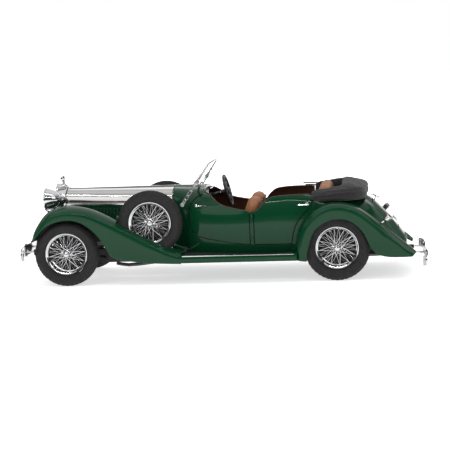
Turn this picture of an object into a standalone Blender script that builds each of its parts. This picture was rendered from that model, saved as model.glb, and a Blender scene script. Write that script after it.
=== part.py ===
"""A 1:24 scale model of a late-1930s open four-seat tourer, in metres, with +Z up.

The nose points along -X and the car's left side along -Y. Shapes are drawn in millimetres from the middle of
the wheelbase at ground level, and the empty car_origin moves them so that the world's origin is the centre of
the model's footprint.
"""

import math

import bmesh
import bpy
from mathutils import Matrix, Vector

MM = 0.001

# Driving dimensions, in millimetres from the middle of the wheelbase.
WHEELBASE = 134.4
TRACK = 59.8
FRONT_AXLE_X = -WHEELBASE / 2
REAR_AXLE_X = WHEELBASE / 2
WHEEL_Y = TRACK / 2
FRONT_END_X = -93.5
REAR_END_X = 112.0
FRAME_SHIFT_X = -(FRONT_END_X + REAR_END_X) / 2

TYRE_RADIUS = 16.1
TYRE_WIDTH = 6.6
TYRE_SIDES = 24
RIM_RADIUS = 10.5
SPOKES = 12
SHAFT_RADIUS = 0.8
HUB_BORE_RADIUS = 0.9
CASING_BORE_RADIUS = 0.92
KINGPIN_RADIUS = 0.65
KINGPIN_BORE_RADIUS = 0.75
TIE_PIN_RADIUS = 0.4
TIE_EYE_RADIUS = 1.05
AXLE_Z = TYRE_RADIUS

GAP = 0.4  # shut line round each opening panel
FIT = 0.3  # clearance between pieces that touch
WALL = 1.3  # body shell thickness
WING_WALL = 0.8
WING_OUTER_Y = 36.5

BONNET_FRONT_X = -70.8
BONNET_REAR_X = -15.4
BONNET_TOP_Z = 46.5
BONNET_SPLIT_Z = 38.6
BONNET_BASE_Z = 30.3
BONNET_WALL = 0.8
COCKPIT_FRONT_X = 1.0
DECK_Z = 38.6
DECK_FRONT_X = 54.9
SIDE_HINGE_Y = 30.45
FRONT_DOOR_HINGE_X = 24.6
REAR_DOOR_HINGE_X = 26.7

SPARE = Vector((-24.8, 28.9, 30.5))
KINGPIN_Y = 24.0
STEERING_ARM = 6.7
SCREEN_PIVOT = Vector((-2.0, 0.0, 49.0))
SCREEN_RAKE = math.radians(34)
SCREEN_HALF_WIDTH = 20.6
WHEEL_CENTRE = Vector((11.4, 11.5, 42.2))
COLUMN_SLOPE = math.radians(14)
STEERING_RADIUS = 8.7
RAIL_BASE_Z = 9.0
BOOT_HINGE = Vector((97.7, 0.0, 23.6))
LEFT, RIGHT = -1, 1
SIDES = ((LEFT, "left"), (RIGHT, "right"))

GREEN = (0.003, 0.055, 0.027)
CHROME = (0.72, 0.72, 0.74)
RUBBER = (0.025, 0.025, 0.028)
TAN = (0.42, 0.16, 0.06)
BLACK = (0.01, 0.01, 0.012)
HOOD_CLOTH = (0.03, 0.03, 0.033)
CLEAR = (0.9, 0.95, 1.0)
RED = (0.45, 0.01, 0.01)
GREY = (0.3, 0.31, 0.32)


# ---------------------------------------------------------------- helpers

def clear_scene():
    for obj in list(bpy.data.objects):
        bpy.data.objects.remove(obj)


def material(name, colour, roughness, metallic=0.0):
    found = bpy.data.materials.get(name)
    if found:
        return found
    made = bpy.data.materials.new(name)
    made.use_nodes = True
    shader = made.node_tree.nodes["Principled BSDF"]
    shader.inputs["Base Color"].default_value = (*colour, 1.0)
    shader.inputs["Roughness"].default_value = roughness
    shader.inputs["Metallic"].default_value = metallic
    return made


def paint():
    return material("green_paint", GREEN, 0.12)


def chrome():
    return material("chrome", CHROME, 0.08, 1.0)


def black_plastic():
    return material("black_plastic", BLACK, 0.45)


def leather():
    return material("tan_leather", TAN, 0.5)


def rubber():
    return material("tyre_rubber", RUBBER, 0.75)


def grey_metal():
    return material("engine_grey", GREY, 0.4, 0.6)


def add_object(name, points, faces, finish=None, origin=(0, 0, 0), helper=False):
    """An object from points in millimetres, with its own origin at a point of the car, under car_origin."""
    centre = Vector(origin)
    mesh = bpy.data.meshes.new(name)
    mesh.from_pydata([(Vector(p) - centre) * MM for p in points], [], faces)
    work = bmesh.new()
    work.from_mesh(mesh)
    bmesh.ops.remove_doubles(work, verts=work.verts, dist=1e-7)
    bmesh.ops.recalc_face_normals(work, faces=work.faces)
    work.to_mesh(mesh)
    work.free()
    mesh.shade_smooth()
    mesh.set_sharp_from_angle(angle=math.radians(35))
    obj = bpy.data.objects.new(name, mesh)
    obj.location = centre * MM
    bpy.context.scene.collection.objects.link(obj)
    if helper:
        obj.hide_render = True
        obj.display_type = "WIRE"
    else:
        mesh.materials.append(finish)
    obj.parent = bpy.data.objects["car_origin"]
    return obj


def boolean(obj, other, operation="DIFFERENCE"):
    modifier = obj.modifiers.new(other.name, "BOOLEAN")
    modifier.operation = operation
    modifier.object = other
    modifier.solver = "EXACT"
    return obj


def spline(points, count):
    """count points along a Catmull-Rom curve through the given ones, ends included."""
    p = [Vector(q) for q in points]
    p = [p[0] * 2 - p[1]] + p + [p[-1] * 2 - p[-2]]
    out = []
    for i in range(count):
        s = i / (count - 1) * (len(p) - 3)
        k = min(int(s), len(p) - 4)
        t = s - k
        a, b, c, d = p[k:k + 4]
        out.append(0.5 * (2 * b + (c - a) * t + (2 * a - 5 * b + 4 * c - d) * t * t
                          + (3 * b - a - 3 * c + d) * t ** 3))
    return out


def between(table, x):
    """The row of numbers at x, from rows that each start with their own x."""
    if x <= table[0][0]:
        return list(table[0][1:])
    for low, high in zip(table, table[1:]):
        if x <= high[0]:
            t = (x - low[0]) / (high[0] - low[0])
            return [a + (b - a) * t for a, b in zip(low[1:], high[1:])]
    return list(table[-1][1:])


def loft_faces(rows, columns, closed, start=0):
    """Quads between rows of points, and an n-gon at each end where the rows are closed rings."""
    faces = []
    last = columns if closed else columns - 1
    for r in range(rows - 1):
        for c in range(last):
            n = (c + 1) % columns
            a, b = start + r * columns, start + (r + 1) * columns
            faces.append((a + c, a + n, b + n, b + c))
    if closed:
        faces.append(tuple(start + c for c in range(columns))[::-1])
        faces.append(tuple(start + (rows - 1) * columns + c for c in range(columns)))
    return faces


def loft(name, rings, **more):
    points = [p for ring in rings for p in ring]
    return add_object(name, points, loft_faces(len(rings), len(rings[0]), True), **more)


def shell(name, rows, thickness, inward, **more):
    """An open grid of points, thickened towards the point inward."""
    points = [Vector(p) for row in rows for p in row]
    obj = add_object(name, points, loft_faces(len(rows), len(rows[0]), False), **more)
    centre_face = obj.data.polygons[len(obj.data.polygons) // 2]
    away = centre_face.normal.dot(centre_face.center - Vector(inward) * MM)
    if away < 0:
        obj.data.flip_normals()
    solid = obj.modifiers.new("thickness", "SOLIDIFY")
    solid.thickness = thickness * MM
    solid.offset = -1
    solid.use_even_offset = True
    return obj


def prism(name, outline, low, high, axis="Y", **more):
    """An outline drawn in the other two axes (X Z, X Y or Y Z), extruded along axis."""
    def place(a, b, h):
        return {"Y": (a, h, b), "Z": (a, b, h), "X": (h, a, b)}[axis]

    rings = [[place(a, b, h) for a, b in outline] for h in (low, high)]
    return loft(name, rings, **more)


def box(name, low, high, **more):
    outline = [(low[0], low[1]), (high[0], low[1]), (high[0], high[1]), (low[0], high[1])]
    return prism(name, outline, low[2], high[2], "Z", **more)


def turn_to(axis):
    """A matrix that carries +Z onto the given direction."""
    return Vector((0, 0, 1)).rotation_difference(Vector(axis)).to_matrix()


def lathe(name, profile, centre, axis=(0, 1, 0), sides=TYRE_SIDES, phase=0.5, **more):
    """A profile of (radius, distance along axis) turned about axis: a ring unless it ends at radius 0."""
    to_axis = turn_to(axis)
    poles = profile[0][0] == 0
    body = profile[1:-1] if poles else profile
    points = []
    for r, h in body:
        for k in range(sides):
            angle = (k + phase) * math.tau / sides
            local = Vector((r * math.cos(angle), r * math.sin(angle), h))
            points.append(Vector(centre) + to_axis @ local)
    faces = []
    rows = len(body)
    for r in range(rows - (1 if poles else 0)):
        for k in range(sides):
            n = (k + 1) % sides
            a, b = r * sides, ((r + 1) % rows) * sides
            faces.append((a + k, a + n, b + n, b + k))
    if poles:
        faces.append(tuple(range(sides))[::-1])
        faces.append(tuple((rows - 1) * sides + k for k in range(sides)))
    return add_object(name, points, faces, **more)


def rod(name, start, end, radius, sides=10, **more):
    start, end = Vector(start), Vector(end)
    long = (end - start).length
    profile = [(0, 0), (radius, 0), (radius, long), (0, long)]
    return lathe(name, profile, start, (end - start).normalized(), sides, **more)


def sweep_rings(path, section, up=(0, 0, 1)):
    """Rings of the section, in (sideways, up) offsets, square to a path."""
    path = [Vector(p) for p in path]
    up = Vector(up)
    rings = []
    for i, p in enumerate(path):
        along = (path[min(i + 1, len(path) - 1)] - path[max(i - 1, 0)]).normalized()
        side = along.cross(up).normalized()
        upward = side.cross(along)
        rings.append([p + side * a + upward * b for a, b in section])
    return rings


def circle(radius, sides):
    return [(radius * math.cos(k * math.tau / sides),
             radius * math.sin(k * math.tau / sides)) for k in range(sides)]


def widened(outline, distance):
    """The closed outline moved out by distance."""
    area = sum(a[0] * b[1] - b[0] * a[1] for a, b in zip(outline, outline[1:] + outline[:1]))
    turn = 1 if area > 0 else -1
    out = []
    for i, point in enumerate(outline):
        before = (Vector(point) - Vector(outline[i - 1])).normalized()
        after = (Vector(outline[(i + 1) % len(outline)]) - Vector(point)).normalized()
        normals = [Vector((d.y, -d.x)) * turn for d in (before, after)]
        mean = (normals[0] + normals[1]).normalized()
        out.append(tuple(Vector(point) + mean * (distance / max(0.5, mean.dot(normals[0])))))
    return out


def mirrored(points, side):
    """Points drawn on the right side, moved to the side asked for."""
    return [Vector((p[0], p[1] * side, p[2])) for p in points]


# ---------------------------------------------------------------- body shell

# Right half of the body's cross-section at each station, top centre to sill: x, then y and z pairs.
BODY_STATIONS = (
    (-15.0, 0, 46.5, 7.0, 46.2, 12.0, 44.8, 14.8, 41.6, 15.7, 37.0, 16.0, 30.0, 16.0, 22.0, 15.2, 14.0),
    (-10.0, 0, 46.4, 8.0, 46.0, 13.6, 44.3, 17.0, 40.6, 18.4, 36.0, 18.9, 29.8, 18.7, 22.0, 17.6, 14.0),
    (-5.8, 0, 46.4, 9.0, 45.9, 15.5, 43.9, 19.8, 40.1, 21.8, 35.6, 22.6, 29.5, 22.4, 21.5, 21.2, 14.0),
    (0.0, 0, 46.4, 10.0, 45.8, 17.0, 43.8, 21.9, 40.0, 24.6, 35.5, 25.7, 29.0, 25.4, 21.0, 24.2, 14.0),
    (7.0, 0, 46.6, 11.0, 46.0, 18.8, 43.9, 24.0, 40.4, 26.8, 35.6, 28.0, 28.8, 27.6, 20.8, 26.2, 14.0),
    (16.0, 0, 47.4, 12.0, 47.0, 20.8, 45.0, 25.8, 41.2, 28.6, 35.5, 29.7, 28.5, 29.2, 20.5, 27.7, 14.0),
    (25.7, 0, 48.0, 12.0, 47.8, 21.5, 46.6, 26.8, 42.0, 29.3, 35.6, 30.2, 28.3, 29.7, 20.3, 28.2, 14.0),
    (36.0, 0, 48.0, 12.0, 47.8, 21.5, 46.8, 26.8, 42.6, 29.4, 35.8, 30.2, 28.2, 29.7, 20.2, 28.3, 14.0),
    (46.0, 0, 48.0, 12.0, 47.8, 21.5, 46.6, 26.6, 42.5, 29.0, 35.8, 29.8, 28.0, 29.3, 20.2, 28.0, 14.0),
    (57.0, 0, 46.0, 12.0, 45.6, 20.5, 44.5, 25.6, 41.2, 27.9, 35.6, 28.6, 28.0, 28.1, 20.2, 27.0, 14.0),
    (68.0, 0, 41.0, 11.0, 40.6, 19.0, 39.8, 24.4, 37.8, 26.6, 33.6, 27.4, 27.0, 27.0, 20.0, 26.0, 14.0),
    (76.0, 0, 39.6, 10.0, 39.4, 17.6, 38.4, 22.8, 35.8, 25.2, 31.6, 25.9, 26.0, 25.6, 19.4, 24.6, 14.0),
    (83.5, 0, 37.8, 9.0, 37.3, 16.0, 35.9, 20.6, 33.2, 23.0, 29.2, 23.9, 24.4, 23.6, 18.4, 22.6, 13.6),
    (90.8, 0, 31.2, 8.0, 30.7, 14.0, 29.2, 18.0, 26.7, 20.4, 23.4, 21.5, 19.8, 21.3, 16.2, 20.5, 13.0),
    (97.0, 0, 24.1, 7.0, 23.7, 12.0, 22.5, 15.5, 20.6, 17.8, 18.4, 18.6, 16.1, 18.4, 14.2, 18.0, 12.5),
    (100.6, 0, 19.4, 6.0, 19.1, 10.5, 18.3, 13.5, 17.1, 15.2, 15.7, 15.8, 14.4, 15.8, 13.2, 15.5, 12.3),
)
BODY_STEPS = (-15.0, -10.0, -5.8, 0.0, 7.0, 16.0, 25.7, 36.0, 46.0, 57.0, 68.0, 76.0, 83.5, 87.4, 90.8, 97.0,
              100.6)
DOOR_LINE = ((1.0, 44.2), (3.2, 43.3), (6.2, 41.0), (8.8, 38.9), (11.8, 37.5), (15.6, 36.5), (20.6, 35.5),
             (24.4, 34.8), (26.9, 34.8), (29.4, 36.0), (31.6, 38.7), (34.9, 41.0), (40.0, 41.8), (47.0, 42.1))
REAR_SEAT_PAN_Z = 21.6
REAR_CAVITY_Y = 23.6
BULKHEAD_X = 66.5
BOOT_FRONT_X = 72.8
AXLE_TUNNEL_RADIUS = 4.1


def half_section(x):
    row = between(BODY_STATIONS, x)
    return [(row[i], row[i + 1]) for i in range(0, len(row), 2)]


def ring_of(x, half):
    """The closed ring of a half-section: down the right side and back up the left."""
    right = [(x, y, z) for y, z in half]
    left = [(x, -y, z) for y, z in half[:0:-1]]
    return right + left


def inside(half, thickness):
    """A half-section moved in by thickness."""
    out = []
    for i, point in enumerate(half):
        before, after = Vector(half[max(i - 1, 0)]), Vector(half[min(i + 1, len(half) - 1)])
        along = (after - before).normalized()
        y, z = Vector(point) + Vector((along.y, -along.x)) * thickness
        out.append((0.0 if i == 0 else max(y, 0.5), z))
    y, z = half[-1]
    out[-1] = (y - thickness, z + thickness)
    return out


def cavity_rings(steps, floor_z):
    """The cabin's hollow. Behind the rear doors it draws in to clear the wheels and its floor rises."""
    rings = []
    for x in steps:
        half = inside(half_section(x), WALL)
        narrow_from = 8 if x < 49 else 5 if x < 56 else 4
        floor = floor_z if x > 55 else 0
        half = [(min(y, REAR_CAVITY_Y) if k >= narrow_from else y, max(z, floor + 0.3 * (8 - k)))
                for k, (y, z) in enumerate(half)]
        rings.append(ring_of(x, half))
    return rings


def cockpit_outline():
    over = 60.0
    return [(COCKPIT_FRONT_X, over), *DOOR_LINE, (DECK_FRONT_X, 42.1), (DECK_FRONT_X, DECK_Z), (86.0, DECK_Z),
            (86.0, over)]


FRONT_DOOR = [(24.4, 60.0), (24.4, 18.6), (16.0, 19.6), (6.0, 21.2), (-1.5, 23.0), (-4.5, 25.6), (-5.8, 29.6),
              (-6.0, 34.0), (-5.0, 38.2), (-2.0, 41.6), (2.0, 43.3), (2.0, 60.0)]
REAR_DOOR = [(55.4, 60.0), (55.4, 39.6), (54.2, 36.2), (50.6, 32.6), (47.4, 28.2), (45.6, 23.0), (44.8, 18.6),
             (26.9, 18.6), (26.9, 60.0)]
FRONT_DOOR_INNER_Y = 14.5
REAR_DOOR_INNER_Y = 25.0
DOOR_OUTER_Y = 34.0
BOOT_OUTLINE = [(85.2, -10.5), (97.4, -9.0), (97.4, 9.0), (85.2, 10.5)]


def outer_body(name, **more):
    return loft(name, [ring_of(x, half_section(x)) for x in BODY_STEPS], **more)


def hollow(obj):
    """Takes the cockpit, its opening and the boot space out of a body solid."""
    for cutter in ("cut_cabin", "cut_cockpit", "cut_boot_space"):
        boolean(obj, bpy.data.objects[cutter])
    return obj


def make_body_cutters():
    cabin = [-13.7, -10.0, -5.8, 0.0, 7.0, 16.0, 25.7, 36.0, 46.0, 50.0, 57.0, BULKHEAD_X]
    loft("cut_cabin", cavity_rings(cabin, REAR_SEAT_PAN_Z), helper=True)
    boot = (BOOT_FRONT_X, 76.0, 83.5, 87.4, 90.8, 98.2)
    loft("cut_boot_space", [ring_of(x, inside(half_section(x), WALL)) for x in boot], helper=True)
    prism("cut_cockpit", cockpit_outline(), -45, 45, helper=True)
    for side, name in SIDES:
        near, far = sorted((side * (FRONT_DOOR_INNER_Y - GAP), side * DOOR_OUTER_Y))
        prism(f"cut_front_door_{name}", widened(FRONT_DOOR, GAP), near, far, helper=True)
        near, far = sorted((side * (REAR_DOOR_INNER_Y - 4), side * DOOR_OUTER_Y))
        prism(f"cut_rear_door_{name}", widened(REAR_DOOR, GAP), near, far, helper=True)
        start, end = (REAR_AXLE_X, side * 25.3, AXLE_Z), (REAR_AXLE_X, side * 42, AXLE_Z)
        rod(f"cut_wheel_well_{name}", start, end, TYRE_RADIUS + 1.6, 28, helper=True)
    tunnel_start, tunnel_end = (REAR_AXLE_X, -45, AXLE_Z), (REAR_AXLE_X, 45, AXLE_Z)
    rod("cut_axle_tunnel", tunnel_start, tunnel_end, AXLE_TUNNEL_RADIUS, 12, helper=True)
    prism("cut_boot_opening", widened(BOOT_OUTLINE, GAP), 18, 60, "Z", helper=True)
    hollow(outer_body("body_shell_guide", helper=True))


def make_body():
    tub = hollow(outer_body("body_tub", finish=paint()))
    for side, name in SIDES:
        for cutter in ("front_door", "rear_door", "wheel_well"):
            boolean(tub, bpy.data.objects[f"cut_{cutter}_{name}"])
    boolean(tub, bpy.data.objects["cut_axle_tunnel"])
    boolean(tub, bpy.data.objects["cut_boot_opening"])


def make_doors():
    """Each door is the piece of the body shell inside its outline, and turns on the centre pillar."""
    guide = bpy.data.objects["body_shell_guide"]
    doors = (("front", FRONT_DOOR, FRONT_DOOR_HINGE_X, FRONT_DOOR_INNER_Y),
             ("rear", REAR_DOOR, REAR_DOOR_HINGE_X, REAR_DOOR_INNER_Y))
    for side, name in SIDES:
        for place, outline, hinge_x, inner_y in doors:
            near, far = sorted((side * inner_y, side * DOOR_OUTER_Y))
            hinge = (hinge_x, side * SIDE_HINGE_Y, 26.0)
            door = prism(f"door_{place}_{name}", outline, near, far, finish=paint(), origin=hinge)
            boolean(door, guide, "INTERSECT")


def make_boot_lid():
    lid = prism("boot_lid", BOOT_OUTLINE, 18, 60, "Z", finish=paint(), origin=BOOT_HINGE)
    boolean(lid, bpy.data.objects["body_shell_guide"], "INTERSECT")


# ---------------------------------------------------------------- bonnet and radiator

def bonnet_width(x):
    """Half-width of the bonnet's side, which widens towards the scuttle."""
    return between(((-77.0, 9.2), (BONNET_FRONT_X, 9.8), (-40.0, 13.6), (BONNET_REAR_X, 15.7)), x)[0]


def bonnet_top_section(width):
    """From the centre hinge round to the moulding, as (y, z)."""
    return [(0.2, BONNET_TOP_Z), (width * 0.42, BONNET_TOP_Z - 0.35), (width * 0.74, BONNET_TOP_Z - 1.5),
            (width * 0.92, BONNET_TOP_Z - 3.7), (width * 0.985, BONNET_TOP_Z - 6.0), (width, BONNET_SPLIT_Z)]


def make_bonnet():
    steps = (BONNET_FRONT_X, -55.0, -40.0, -27.0, BONNET_REAR_X)
    for side, name in SIDES:
        rings = []
        for x in steps:
            outer = bonnet_top_section(bonnet_width(x))
            inner = [(max(y - BONNET_WALL * min(1, k / 3), 0.2), z - BONNET_WALL * (1 - max(0, k - 3) / 2))
                     for k, (y, z) in enumerate(outer)]
            rings.append(mirrored([(x, y, z) for y, z in outer + inner[::-1]], side))
        hinge = (BONNET_FRONT_X, 0, BONNET_TOP_Z + 0.1)
        loft(f"bonnet_top_{name}", rings, finish=chrome(), origin=hinge)
        rings = []
        for x in steps:
            w, top, low = bonnet_width(x), BONNET_SPLIT_Z - FIT, BONNET_BASE_Z
            section = [(w, top), (w, low), (w - BONNET_WALL, low), (w - BONNET_WALL, top)]
            rings.append(mirrored([(x, y, z) for y, z in section], side))
        loft(f"bonnet_side_{name}", rings, finish=paint(), origin=hinge)


RADIATOR_FRONT_X = -76.6
RADIATOR_REAR_X = -71.1
RADIATOR_BASE_Z = 20.5
RADIATOR_TOP_Z = 47.3


def radiator_half(width, top):
    return [(0, top), (width * 0.45, top - 0.4), (width * 0.8, top - 1.9), (width, top - 5.0),
            (width * 0.985, 32.0), (width * 0.9, RADIATOR_BASE_Z)]


def make_radiator():
    """A plated shell with a rounded head, open at the front for the slatted grille."""
    rings = []
    for x, width, top in ((RADIATOR_FRONT_X, 9.0, 46.3), (-75.4, 9.9, 47.2), (RADIATOR_REAR_X, 10.0, 47.3)):
        rings.append(ring_of(x, radiator_half(width, top)))
    radiator = loft("radiator_shell", rings, finish=chrome())
    opening = [ring_of(x, radiator_half(7.6, 44.6)) for x in (-79.0, -73.2)]
    opening = [[(x, y, max(z, RADIATOR_BASE_Z + 1.6)) for x, y, z in ring] for ring in opening]
    boolean(radiator, loft("cut_radiator_front", opening, helper=True))
    core = [ring_of(x, radiator_half(7.2, 44.2)) for x in (-75.9, -73.6)]
    core = [[(x, y, max(z, RADIATOR_BASE_Z + 2.0)) for x, y, z in ring] for ring in core]
    loft("radiator_grille", core, finish=black_plastic())
    cap = [(0, 0), (1.9, 0), (1.9, 0.8), (1.1, 1.2), (0.6, 1.7), (1.0, 2.8), (1.15, 4.2), (0.7, 5.6),
           (0, 5.6)]
    lathe("radiator_mascot", cap, (-73.9, 0, RADIATOR_TOP_Z + 0.25), (0, 0, 1), 12, finish=chrome())


def make_engine():
    block = box("engine_block", (-63.0, -5.2, 17.0), (-31.0, 5.2, 30.0), finish=grey_metal())
    gearbox = lathe("join_gearbox", [(0, -31.5), (4.6, -31.5), (3.4, -24.0), (2.6, -16.4), (0, -16.4)],
                    (0, 0, 18.6), (1, 0, 0), 10, helper=True)
    boolean(block, gearbox, "UNION")
    fan = rod("join_fan_hub", (-65.6, 0, 26.0), (-62.5, 0, 26.0), 1.2, 8, helper=True)
    boolean(block, fan, "UNION")
    boolean(block, rod("join_fan", (-66.4, 0, 26.0), (-65.4, 0, 26.0), 5.4, 10, helper=True), "UNION")
    outline = [(-4.4, 30.3), (4.4, 30.3), (4.4, 34.5), (2.9, 37.2), (-2.9, 37.2), (-4.4, 34.5)]
    prism("rocker_cover", outline, -62.0, -32.0, "X", finish=grey_metal())


# ---------------------------------------------------------------- wings and running boards

# Crown line, lower edge and inner edge of the front wing at each station: crown x z, edge x z, inner x y z.
FRONT_WING = (
    ((-84.9, 22.8), (-83.4, 23.4), (-84.4, 22.6, 22.7)),
    ((-83.6, 27.4), (-80.9, 26.3), (-82.9, 21.6, 26.2)),
    ((-81.0, 32.0), (-78.3, 29.0), (-80.2, 20.0, 29.4)),
    ((-77.5, 36.1), (-75.2, 31.3), (-77.2, 17.8, 30.6)),
    ((-73.0, 38.7), (-71.0, 32.9), (-73.0, 15.0, 30.4)),
    ((-67.0, 39.9), (-66.0, 33.7), (-67.0, 12.6, 29.7)),
    ((-61.0, 39.7), (-61.2, 33.2), (-61.0, 12.4, 29.6)),
    ((-55.2, 38.5), (-56.8, 31.3), (-55.0, 12.9, 29.5)),
    ((-49.4, 36.2), (-52.3, 27.8), (-49.0, 13.6, 29.2)),
    ((-43.4, 33.2), (-48.8, 23.6), (-43.0, 14.2, 28.4)),
    ((-37.4, 29.9), (-45.7, 18.2), (-37.0, 14.9, 26.6)),
    ((-31.4, 26.6), (-42.2, 14.4), (-31.0, 15.6, 24.4)),
    ((-25.8, 23.7), (-34.0, 12.6), (-25.5, 16.2, 22.0)),
    ((-20.0, 20.9), (-25.5, 11.6), (-20.0, 16.9, 19.8)),
    ((-14.4, 18.4), (-17.2, 11.1), (-14.4, 17.4, 17.6)),
    ((-9.3, 16.5), (-9.3, 10.8), (-9.3, 19.9, 15.9)),
)
REAR_WING = (
    ((46.8, 10.9), (52.0, 10.3), (46.9, 30.4, 11.0)),
    ((47.2, 16.2), (52.4, 14.6), (47.4, 30.4, 16.1)),
    ((48.2, 21.6), (53.8, 20.4), (48.6, 30.5, 21.2)),
    ((50.2, 27.3), (56.0, 24.9), (50.8, 30.2, 26.7)),
    ((53.7, 32.3), (59.2, 27.9), (54.4, 29.5, 31.4)),
    ((58.0, 35.9), (63.0, 29.9), (58.6, 28.7, 34.9)),
    ((63.0, 38.0), (66.0, 30.7), (63.3, 28.1, 36.9)),
    ((68.3, 38.5), (69.0, 30.8), (68.3, 27.4, 37.2)),
    ((73.7, 37.6), (73.0, 30.1), (73.5, 26.5, 36.2)),
    ((78.8, 35.3), (77.3, 27.3), (78.5, 25.9, 33.7)),
    ((84.0, 31.7), (80.6, 23.4), (83.5, 24.7, 29.8)),
    ((89.3, 27.3), (83.0, 18.4), (88.6, 23.2, 25.2)),
    ((94.5, 22.6), (86.0, 13.9), (93.8, 21.1, 20.6)),
    ((99.4, 18.3), (91.0, 12.0), (98.8, 18.9, 16.6)),
    ((103.2, 15.0), (97.5, 11.5), (102.8, 18.4, 13.9)),
    ((105.6, 12.8), (103.5, 11.5), (105.3, 19.0, 12.4)),
)


def wing_row(crown, edge, inner, crown_y, outer_y, ridge_depth):
    """One cross-section of a right-hand wing, from its lower outer edge over the crown to its inner edge."""
    crown, edge = Vector(crown), Vector(edge)
    ridge = min(0.75, ridge_depth / max((edge - crown).length, 0.1))
    shape = ((0, 1.0), (0.0, 0.55 + 0.45 * ridge), (0.03, ridge), (0.18, ridge * 0.62), (0.5, ridge * 0.24),
             (1, 0.0))
    row = []
    for across, depth in shape:
        x, z = crown + (edge - crown) * depth
        row.append((x, outer_y + (crown_y - outer_y) * across, z))
    for t in (0.3, 0.62, 1.0):
        drop = t ** 1.55
        row.append((crown.x + (inner[0] - crown.x) * drop, crown_y + (inner[1] - crown_y) * t,
                    crown.y + (inner[2] - crown.y) * drop))
    return row


def make_wings():
    well_radius = TYRE_RADIUS + 0.7
    for side, name in SIDES:
        rows = []
        for k, (crown, edge, inner) in enumerate(FRONT_WING):
            rows.append(mirrored(wing_row(crown, edge, inner, 28.8, WING_OUTER_Y - (1.5 if k == 0 else 0),
                                          3.0), side))
        front = shell(f"front_wing_{name}", rows, WING_WALL, (FRONT_AXLE_X, side * 26, 10), finish=paint())
        inner_y, outer_y = SPARE.y - TYRE_WIDTH / 2 - 0.5, SPARE.y + TYRE_WIDTH / 2 + 0.5
        well = rod(f"cut_spare_well_{name}", (SPARE.x, side * inner_y, SPARE.z),
                   (SPARE.x, side * outer_y, SPARE.z),
                   well_radius, 32, helper=True)
        boolean(front, well)
        rows = []
        for k, (crown, edge, inner) in enumerate(REAR_WING):
            outer_y = between(((0, WING_OUTER_Y), (12, WING_OUTER_Y), (15, WING_OUTER_Y - 2.5)), k)[0]
            rows.append(mirrored(wing_row(crown, edge, inner, (inner[1] + outer_y) / 2 - 0.6, outer_y, 2.6),
                                 side))
        shell(f"rear_wing_{name}", rows, WING_WALL, (REAR_AXLE_X, side * 26, 10), finish=paint())


def make_running_boards():
    for side, name in SIDES:
        rings = []
        for x in (-8.9, -5.8, 0.0, 7.0, 16.0, 25.7, 36.0, 46.3):
            body_y = half_section(x)[6][0] + FIT
            section = [(body_y, 14.6), (35.4, 14.6), (36.2, 14.0), (36.4, 12.6), (36.3, 10.9), (body_y, 10.9)]
            rings.append(mirrored([(x, y, z) for y, z in section], side))
        loft(f"running_board_{name}", rings, finish=paint())


# ---------------------------------------------------------------- wheels, axles and steering

def make_tyre(name, centre):
    radius = TYRE_RADIUS / math.cos(math.pi / TYRE_SIDES)
    half = TYRE_WIDTH / 2
    profile = [(RIM_RADIUS + FIT + 0.1, -half + 0.9), (13.3, -half), (radius - 0.7, -half + 0.5),
               (radius, -half + 1.6),
               (radius, half - 1.6), (radius - 0.7, half - 0.5), (13.3, half),
               (RIM_RADIUS + FIT + 0.1, half - 0.9)]
    lathe(name, profile, centre, finish=rubber(), origin=centre)


def make_wheel(name, centre, side, bored=True):
    """A rim, a hub with its nut, and spokes between them. Distances run outwards from the mid-plane."""
    axis = (0, side, 0)
    rim = [(9.5, -2.2), (RIM_RADIUS, -2.2), (RIM_RADIUS - 0.5, 0.0), (RIM_RADIUS, 2.5), (9.6, 2.5),
           (9.1, 0.4)]
    wheel = lathe(name, rim, centre, axis, finish=chrome(), origin=centre)
    hub = [(0, -2.0), (2.0, -2.0), (2.2, 1.6), (1.7, 2.4), (1.5, 3.6), (0, 3.6)]
    points, faces = [], []
    for k in range(SPOKES):
        turn = Matrix.Rotation(k * math.tau / SPOKES, 3, "Z")
        bar = [turn @ Vector((r, w, u + h)) for r, u in ((1.2, 1.0), (9.7, 0.6)) for w, h in
               ((-0.35, -0.3), (0.35, -0.3), (0.35, 0.3), (-0.35, 0.3))]
        faces += loft_faces(2, 4, True, len(points))
        points += [Vector(centre) + turn_to(axis) @ p for p in bar]
    spokes = add_object(f"join_spokes_{name}", points, faces, helper=True)
    boolean(wheel, lathe(f"join_hub_{name}", hub, centre, axis, 12, helper=True), "UNION")
    boolean(wheel, spokes, "UNION")
    if bored:
        y = centre[1]
        start, end = (centre[0], y - side * 4, centre[2]), (centre[0], y + side * 2.0, centre[2])
        boolean(wheel, rod(f"cut_bore_{name}", start, end, HUB_BORE_RADIUS, 12, helper=True))


def make_wheels():
    for side, name in SIDES:
        for place, x in (("front", FRONT_AXLE_X), ("rear", REAR_AXLE_X)):
            centre = (x, side * WHEEL_Y, AXLE_Z)
            make_tyre(f"tyre_{place}_{name}", centre)
            make_wheel(f"wheel_{place}_{name}", centre, side)
        spare = (SPARE.x, side * SPARE.y, SPARE.z)
        make_tyre(f"spare_tyre_{name}", spare)
        make_wheel(f"spare_wheel_{name}", spare, side, bored=False)


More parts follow.
